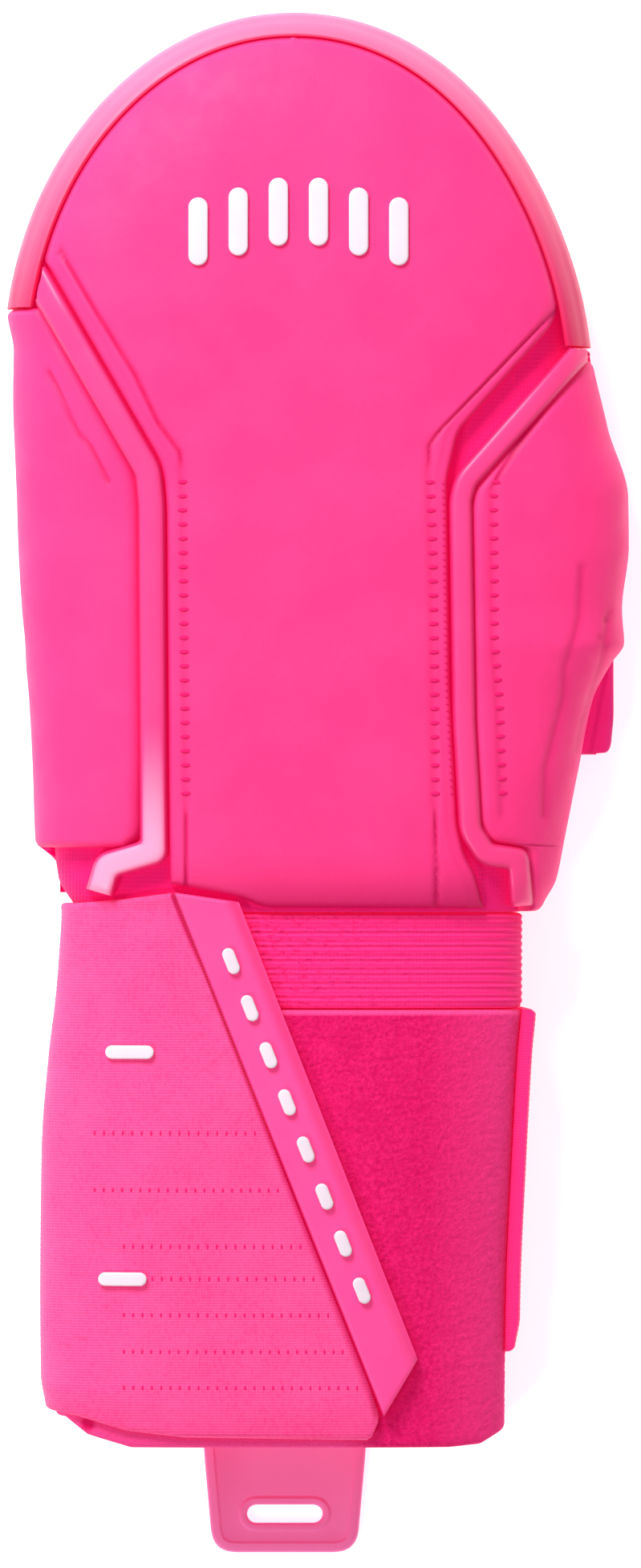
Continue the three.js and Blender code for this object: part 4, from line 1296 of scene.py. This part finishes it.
def wrist_strap():
    top, low = in_cuff(STRAP_TOP_EDGE).T, in_cuff(STRAP_LOWER_EDGE).T
    behind_top, behind_low = in_cuff(STRAP_BEHIND_TOP).T, in_cuff(STRAP_BEHIND_LOW).T
    inner_top, inner_low = in_cuff([TAB_TOP_INNER])[0], in_cuff([TAB_BOTTOM_INNER])[0]
    edge = np.array([0, 0.001, 0.003, 0.006, 0.01])
    v = np.concatenate([edge, np.linspace(0.015, 0.985, 230), 1 - edge[::-1]])
    diagonal = inner_top[None, :] + (inner_low - inner_top)[None, :] * v[:, None]
    start = strap_angle(diagonal[:, 0] - CLEARANCE, diagonal[:, 1], STRAP_TOP)
    _, _, _, _, top_z, _, waist, square = section(np.full(1, inner_low[1]), STRAP_TOP)
    lift = (STRAP_WRAP_HEIGHT - waist[0]) / (top_z[0] - waist[0])
    end = 2 * np.pi + math.asin(lift ** (square[0] / 2))
    front = np.concatenate([[0, 0.001, 0.004, 0.009, 0.016, 0.025], np.linspace(0.035, 1, 70)])
    angle_front = start[:, None] + (np.pi - start[:, None]) * front[None, :]
    back = np.concatenate([np.linspace(0, 0.985, 70)[1:], [0.99, 0.995, 1]])
    angle_back = np.broadcast_to((np.pi + (end - np.pi) * back)[None, :], (len(v), len(back)))
    angle = np.concatenate([angle_front, angle_back], axis=1)
    above = (np.sin(angle) >= 0) | (angle <= np.pi)
    y = np.broadcast_to(diagonal[:, 1:], angle.shape)
    for _ in range(3):
        share = side_share(y, angle, above)
        x = skin(y, share, STRAP_TOP, above)[..., 0]
        is_front = angle <= np.pi
        y_top = np.where(is_front, np.interp(x, *top), np.interp(x, *behind_top))
        y_low = np.where(is_front, np.interp(x, *low), np.interp(x, *behind_low))
        y_low = np.where(angle == angle[:, :1], inner_low[1], y_low)
        y = y_top + (y_low - y_top) * v[:, None]
    edge = np.minimum(y_top - y, y - y_low)
    fine = STRAP_WAVE * np.cos(2 * np.pi * y / STRAP_PITCH) - STRAP_WAVE
    roll = 0.9 * MM * (1 - smooth(0, 7 * MM, y - y_low))
    out = STRAP_TOP + fine - round_edge(edge, 1.2 * MM, 1.2 * MM) - roll
    outer = skin(y, share, out, above)
    inner = skin(y, share, CLEARANCE + 0 * out, above)
    # Painted shade: the gap beside the tab, and the lower edge where it rolls down over the hem
    beside_tab = np.linalg.norm(outer - outer[:, :1], axis=-1)
    dark = 1 - smooth(0.35 * MM, 0.75 * MM, beside_tab) + 0.12 * (1 - smooth(0.5 * MM, 5 * MM, y - y_low))
    obj = shade(shell("wrist_strap_skin", outer, inner), np.clip(dark, 0, 1))
    return finish_piece(obj, "elastic", "wrist_strap")


def strap_tab():
    corners = in_cuff([TAB_TOP_INNER, TAB_TOP_OUTER, TAB_BOTTOM_OUTER, TAB_BOTTOM_INNER])
    edge_u, edge_v = EDGE_STEPS[:8] / TAB_WIDTH, EDGE_STEPS[:8] / CUFF_LENGTH
    u = np.concatenate([edge_u, np.linspace(0.2, 0.8, 14), 1 - edge_u[::-1]])
    v = np.concatenate([edge_v, np.linspace(0.03, 0.97, 90), 1 - edge_v[::-1]])
    left = corners[0] + (corners[3] - corners[0]) * v[:, None]
    right = corners[1] + (corners[2] - corners[1]) * v[:, None]
    plan = left[:, None, :] + (right - left)[:, None, :] * u[None, :, None]
    to_left = distance(plan, corners[[0, 3]])
    to_right = distance(plan, corners[[1, 2]])
    to_ends = np.minimum(distance(plan, corners[[0, 1]]), distance(plan, corners[[2, 3]]))
    out = STRAP_TOP + TAB_RISE - round_edge(np.minimum(to_left, to_ends), 0.9 * MM, 0.9 * MM)
    out = out - 1.3 * MM * (1 - smooth(0, 2.6 * MM, to_right))
    outer = skin_over(plan, out)
    inner = skin_over(plan, CLEARANCE)
    # Painted shade: the gap along the left edge and the bevel along the right edge
    dark = 0.8 * (1 - smooth(0.15 * MM, 0.5 * MM, to_left))
    dark = dark + 0.25 * (1 - smooth(0.3 * MM, 2.2 * MM, to_right))
    obj = shade(shell("strap_tab_skin", outer, inner), np.clip(dark, 0, 1))
    return finish_piece(obj, "tab", "strap_tab")


def pull_tab():
    half = (PULL_HIGH.x - PULL_LOW.x) / 2
    middle = (PULL_HIGH.x + PULL_LOW.x) / 2
    end_half, corner = 0.88 * half, 0.28 * half
    outline = np.array([
        (-half, PULL_HIGH.y),
        (-half, HEM_Y),
        (-end_half, PULL_LOW.y),
        (end_half, PULL_LOW.y),
        (half, HEM_Y),
        (half, PULL_HIGH.y),
    ])
    outline[:, 0] += middle
    outline = resampled(rounded(outline, corner), 0.8 * MM)
    outline = np.vstack([outline, resampled(np.array([outline[-1], outline[0]]), 0.8 * MM)[1:-1]])
    slot = pill_loop((middle, PULL_LOW.y + SLOT_INSET), *SLOT_SIZE, 0, 9)
    slot = resampled(np.vstack([slot, slot[:1]]), 0.6 * MM)[:-1]
    return plate("pull_tab", outline, slot, PULL_LOW.z, PULL_HIGH.z)


# Steps from a plate's edge to its field, and from its slot: inset in mm, drop as a share of the height
RIM_STEPS = [(0, 0.5), (0.1, 0.22), (0.3, 0.06), (0.6, 0), (1.9, 0), (2.2, 0.12), (2.5, 0.18)]
SLOT_STEPS = [(0, 0.5), (0.08, 0.2), (0.25, 0.05), (0.5, 0), (1.3, 0), (1.6, 0.12), (1.9, 0.18)]


def inward(loop, distance_in):
    """A closed loop moved to its inside."""
    closed = np.vstack([loop[-1:], loop, loop[:1]])
    area = 0.5 * np.sum(loop[:, 0] * np.roll(loop[:, 1], -1) - np.roll(loop[:, 0], -1) * loop[:, 1])
    return shifted(closed, -distance_in * math.copysign(1, area))[1:-1]


def plate(name, outline, slot, low, high):
    """Flat plate with rounded edges, a sunk field inside its border, and one slot."""
    height = high - low
    points, faces = [], []
    rims = {}

    def ring(loop, z):
        points.extend((x, y, z) for x, y in loop)
        return list(range(len(points) - len(loop), len(points)))

    def bridge(a, b):
        for i in range(len(a)):
            j = (i + 1) % len(a)
            faces.append((a[i], a[j], b[j], b[i]))

    for up in (True, False):
        last = {}
        for kind, loop, steps, sign in (("outer", outline, RIM_STEPS, 1), ("hole", slot, SLOT_STEPS, -1)):
            rings = []
            for inset, drop in steps:
                z = high - drop * height if up else low + drop * height
                rings.append(ring(inward(loop, sign * inset * MM), z))
            for a, b in zip(rings[:-1], rings[1:]):
                bridge(a, b)
            rims[up, kind] = rings[0]
            last[kind] = rings[-1]
        field = last["outer"] + last["hole"]
        count = len(last["outer"])
        edges = []
        for start, size in ((0, count), (count, len(field) - count)):
            edges += [(start + i, start + (i + 1) % size) for i in range(size)]
        result = delaunay_2d_cdt([Vector(points[i][:2]) for i in field], edges, [], 1, 1e-7)
        for triangle in result[2]:
            corners = [field[result[3][i][0]] for i in triangle]
            centre = sum((Vector(points[i][:2]) for i in corners), Vector((0, 0))) / 3
            if not inside(centre, [points[i] for i in last["hole"]]):
                faces.append(tuple(corners))
    for kind in ("outer", "hole"):
        bridge(rims[True, kind], rims[False, kind])
    obj = add_mesh(name + "_skin", points, faces)
    fix_normals(obj)
    # Painted light: the whole plate made lighter, lifting it out of the sleeve's shadow
    shade(obj, np.full(len(obj.data.vertices), -0.85))
    return finish_piece(obj, "tab", name)


def inside(point, loop):
    result = False
    for a, b in zip(loop, loop[1:] + loop[:1]):
        if (a[1] > point[1]) != (b[1] > point[1]):
            if point[0] < a[0] + (b[0] - a[0]) * (point[1] - a[1]) / (b[1] - a[1]):
                result = not result
    return result


def fix_normals(obj):
    mesh = bmesh.new()
    mesh.from_mesh(obj.data)
    bmesh.ops.remove_doubles(mesh, verts=mesh.verts, dist=1e-6)
    bmesh.ops.recalc_face_normals(mesh, faces=mesh.faces)
    mesh.to_mesh(obj.data)
    mesh.free()


# Raised marks

# Steps of a mark's rim: inset in mm, rise as a share of the mark's
MARK_STEPS = [(0, 0), (0, 0.55), (0.04, 0.75), (0.14, 0.9), (0.3, 0.97), (0.6, 1), (1, 1.03)]


def pill_loop(centre, length, width, angle, turns=11):
    turn = np.linspace(-np.pi / 2, np.pi / 2, turns)
    straight = (length - width) / 2
    along = np.concatenate([straight + np.cos(turn) * width / 2, -straight - np.cos(turn) * width / 2])
    across = np.concatenate([np.sin(turn), -np.sin(turn)]) * width / 2
    x = centre[0] + along * math.cos(angle) - across * math.sin(angle)
    y = centre[1] + along * math.sin(angle) + across * math.cos(angle)
    return np.stack([x, y], axis=1)


def raised_mark(name, centre, size, angle, base):
    """Pill with a rounded rim, standing on the surface at base."""
    length, width = size
    rings = []
    for inset, rise in MARK_STEPS:
        loop = pill_loop(centre, length - 2 * inset * MM, width - 2 * inset * MM, angle)
        rings.append(skin_over(loop, base + CLEARANCE + MARK_RISE * rise))
    obj = tube(name + "_skin", np.stack(rings), capped_ends=True)
    return finish_piece(obj, "mark", name)


def marks():
    centre = in_hand([EMBLEM_CENTRE])[0]
    for i in range(EMBLEM_COUNT):
        place = i - (EMBLEM_COUNT - 1) / 2
        bow = EMBLEM_ARCH * (1 - 2 * abs(place) / (EMBLEM_COUNT - 1))
        spot = (centre[0] + place * EMBLEM_PITCH, centre[1] + bow)
        raised_mark(f"emblem_bar_{i + 1}", spot, EMBLEM_BAR, math.pi / 2, COVER)
    corners = in_cuff([TAB_TOP_INNER, TAB_TOP_OUTER, TAB_BOTTOM_OUTER, TAB_BOTTOM_INNER])
    start, end = (corners[0] + corners[1]) / 2, (corners[3] + corners[2]) / 2
    angle = math.atan2(end[1] - start[1], end[0] - start[0])
    for i, t in enumerate(np.linspace(*TAB_MARK_ENDS, TAB_MARK_COUNT)):
        raised_mark(f"tab_mark_{i + 1}", start + (end - start) * t, TAB_MARK, angle, STRAP_TOP + TAB_RISE)
    for i, spot in enumerate(in_cuff(STRAP_MARKS)):
        raised_mark(f"strap_mark_{i + 1}", spot, STRAP_MARK, 0, STRAP_TOP)


# Stitching

BEAD_PROFILE = [(-1, 0.35), (-0.7, 0.85), (0, 1), (0.7, 0.85), (1, 0.35)]
BEAD_SIDES = 6


def bead(centre, along, across, up, length, width, height):
    """A small long bead: rings of points along it, closed at both ends."""
    points, faces = [], []
    for place, size in BEAD_PROFILE:
        for k in range(BEAD_SIDES):
            a = 2 * math.pi * k / BEAD_SIDES
            sideways = across * math.cos(a) * width + up * math.sin(a) * height
            points.append(centre + along * place * length / 2 + sideways * size / 2)
    last = BEAD_SIDES * (len(BEAD_PROFILE) - 1)
    for first in range(0, last, BEAD_SIDES):
        for k in range(BEAD_SIDES):
            m = (k + 1) % BEAD_SIDES
            faces.append((first + k, first + m, first + BEAD_SIDES + m, first + BEAD_SIDES + k))
    faces.append(tuple(range(BEAD_SIDES))[::-1])
    faces.append(tuple(range(last, last + BEAD_SIDES)))
    return np.array(points), faces


def stitches(name, line, pitch, length, width, out, slot="pad", material="pad_thread"):
    """A row of stitches laid along a line in plan, on the skin at out."""
    spots = resampled(line, pitch)
    side = normals(spots)
    parts = []
    for spot, normal in zip(spots, side):
        along = np.array([-normal[1], normal[0], 0])
        probe = np.array([spot, spot + normal * 0.5 * MM, spot - normal * 0.5 * MM])
        points = skin_over(probe, out)
        tilt = (points[1] - points[2]) / np.linalg.norm(points[1] - points[2])
        up = np.cross(tilt, along)
        up = up / np.linalg.norm(up)
        parts.append(bead(points[0], tilt, along, up, length, width, width * 0.8))
    obj = joined(name, parts)
    fix_normals(obj)
    return finish_piece(obj, slot, material=material)


def line_between(line, low_y, high_y):
    fine = resampled(line, 0.3 * MM)
    return fine[(fine[:, 1] >= low_y) & (fine[:, 1] <= high_y)]


def pad_stitches():
    fine_line = shifted(back_right_edge(), 0.9 * MM)
    for name, rows in (("left", BACK_LEFT_LINE), ("right", BACK_RIGHT_LINE), ("thumb", THUMB_LINE)):
        line = line_between(in_hand(rows), SEWN_LOW, SEWN_HIGH)
        stitches(f"{name}_stitches", line, 2.9 * MM, 2.2 * MM, 0.9 * MM, COVER - 0.32 * MM)
    line = line_between(fine_line, SEWN_LOW, SEWN_HIGH)
    stitches("fine_stitches", line, 1.4 * MM, 0.7 * MM, 0.5 * MM, COVER - 0.35 * MM, material="fine_thread")


def strap_dots():
    """Rows of small pinholes in the elastic, drawn as short dark threads: their dark colour is painted shade
    in the holes.
    """
    inner = in_cuff([TAB_TOP_INNER, TAB_BOTTOM_INNER])
    for i, along in enumerate(DOT_ROWS):
        y = WRIST_Y - along * CUFF_LENGTH
        low_x = -46 * MM if i < 2 else -40 * MM
        high_x = crossing(inner, y) - 3 * MM
        line = np.array([(low_x, y), (high_x, y)])
        out = STRAP_TOP - 0.12 * MM
        stitches(f"strap_dots_{i + 1}", line, 1.9 * MM, 1 * MM, 0.6 * MM, out, "elastic")


camera()
floor()
studio()
hand_pocket()
palm_pad()
back_panel()
left_panel()
thumb_panel()
thumb_guard()
ribs()
tip_bumper()
wrist_band()
cuff_sleeve()
wrist_strap()
strap_tab()
pull_tab()
marks()
pad_stitches()
strap_dots()
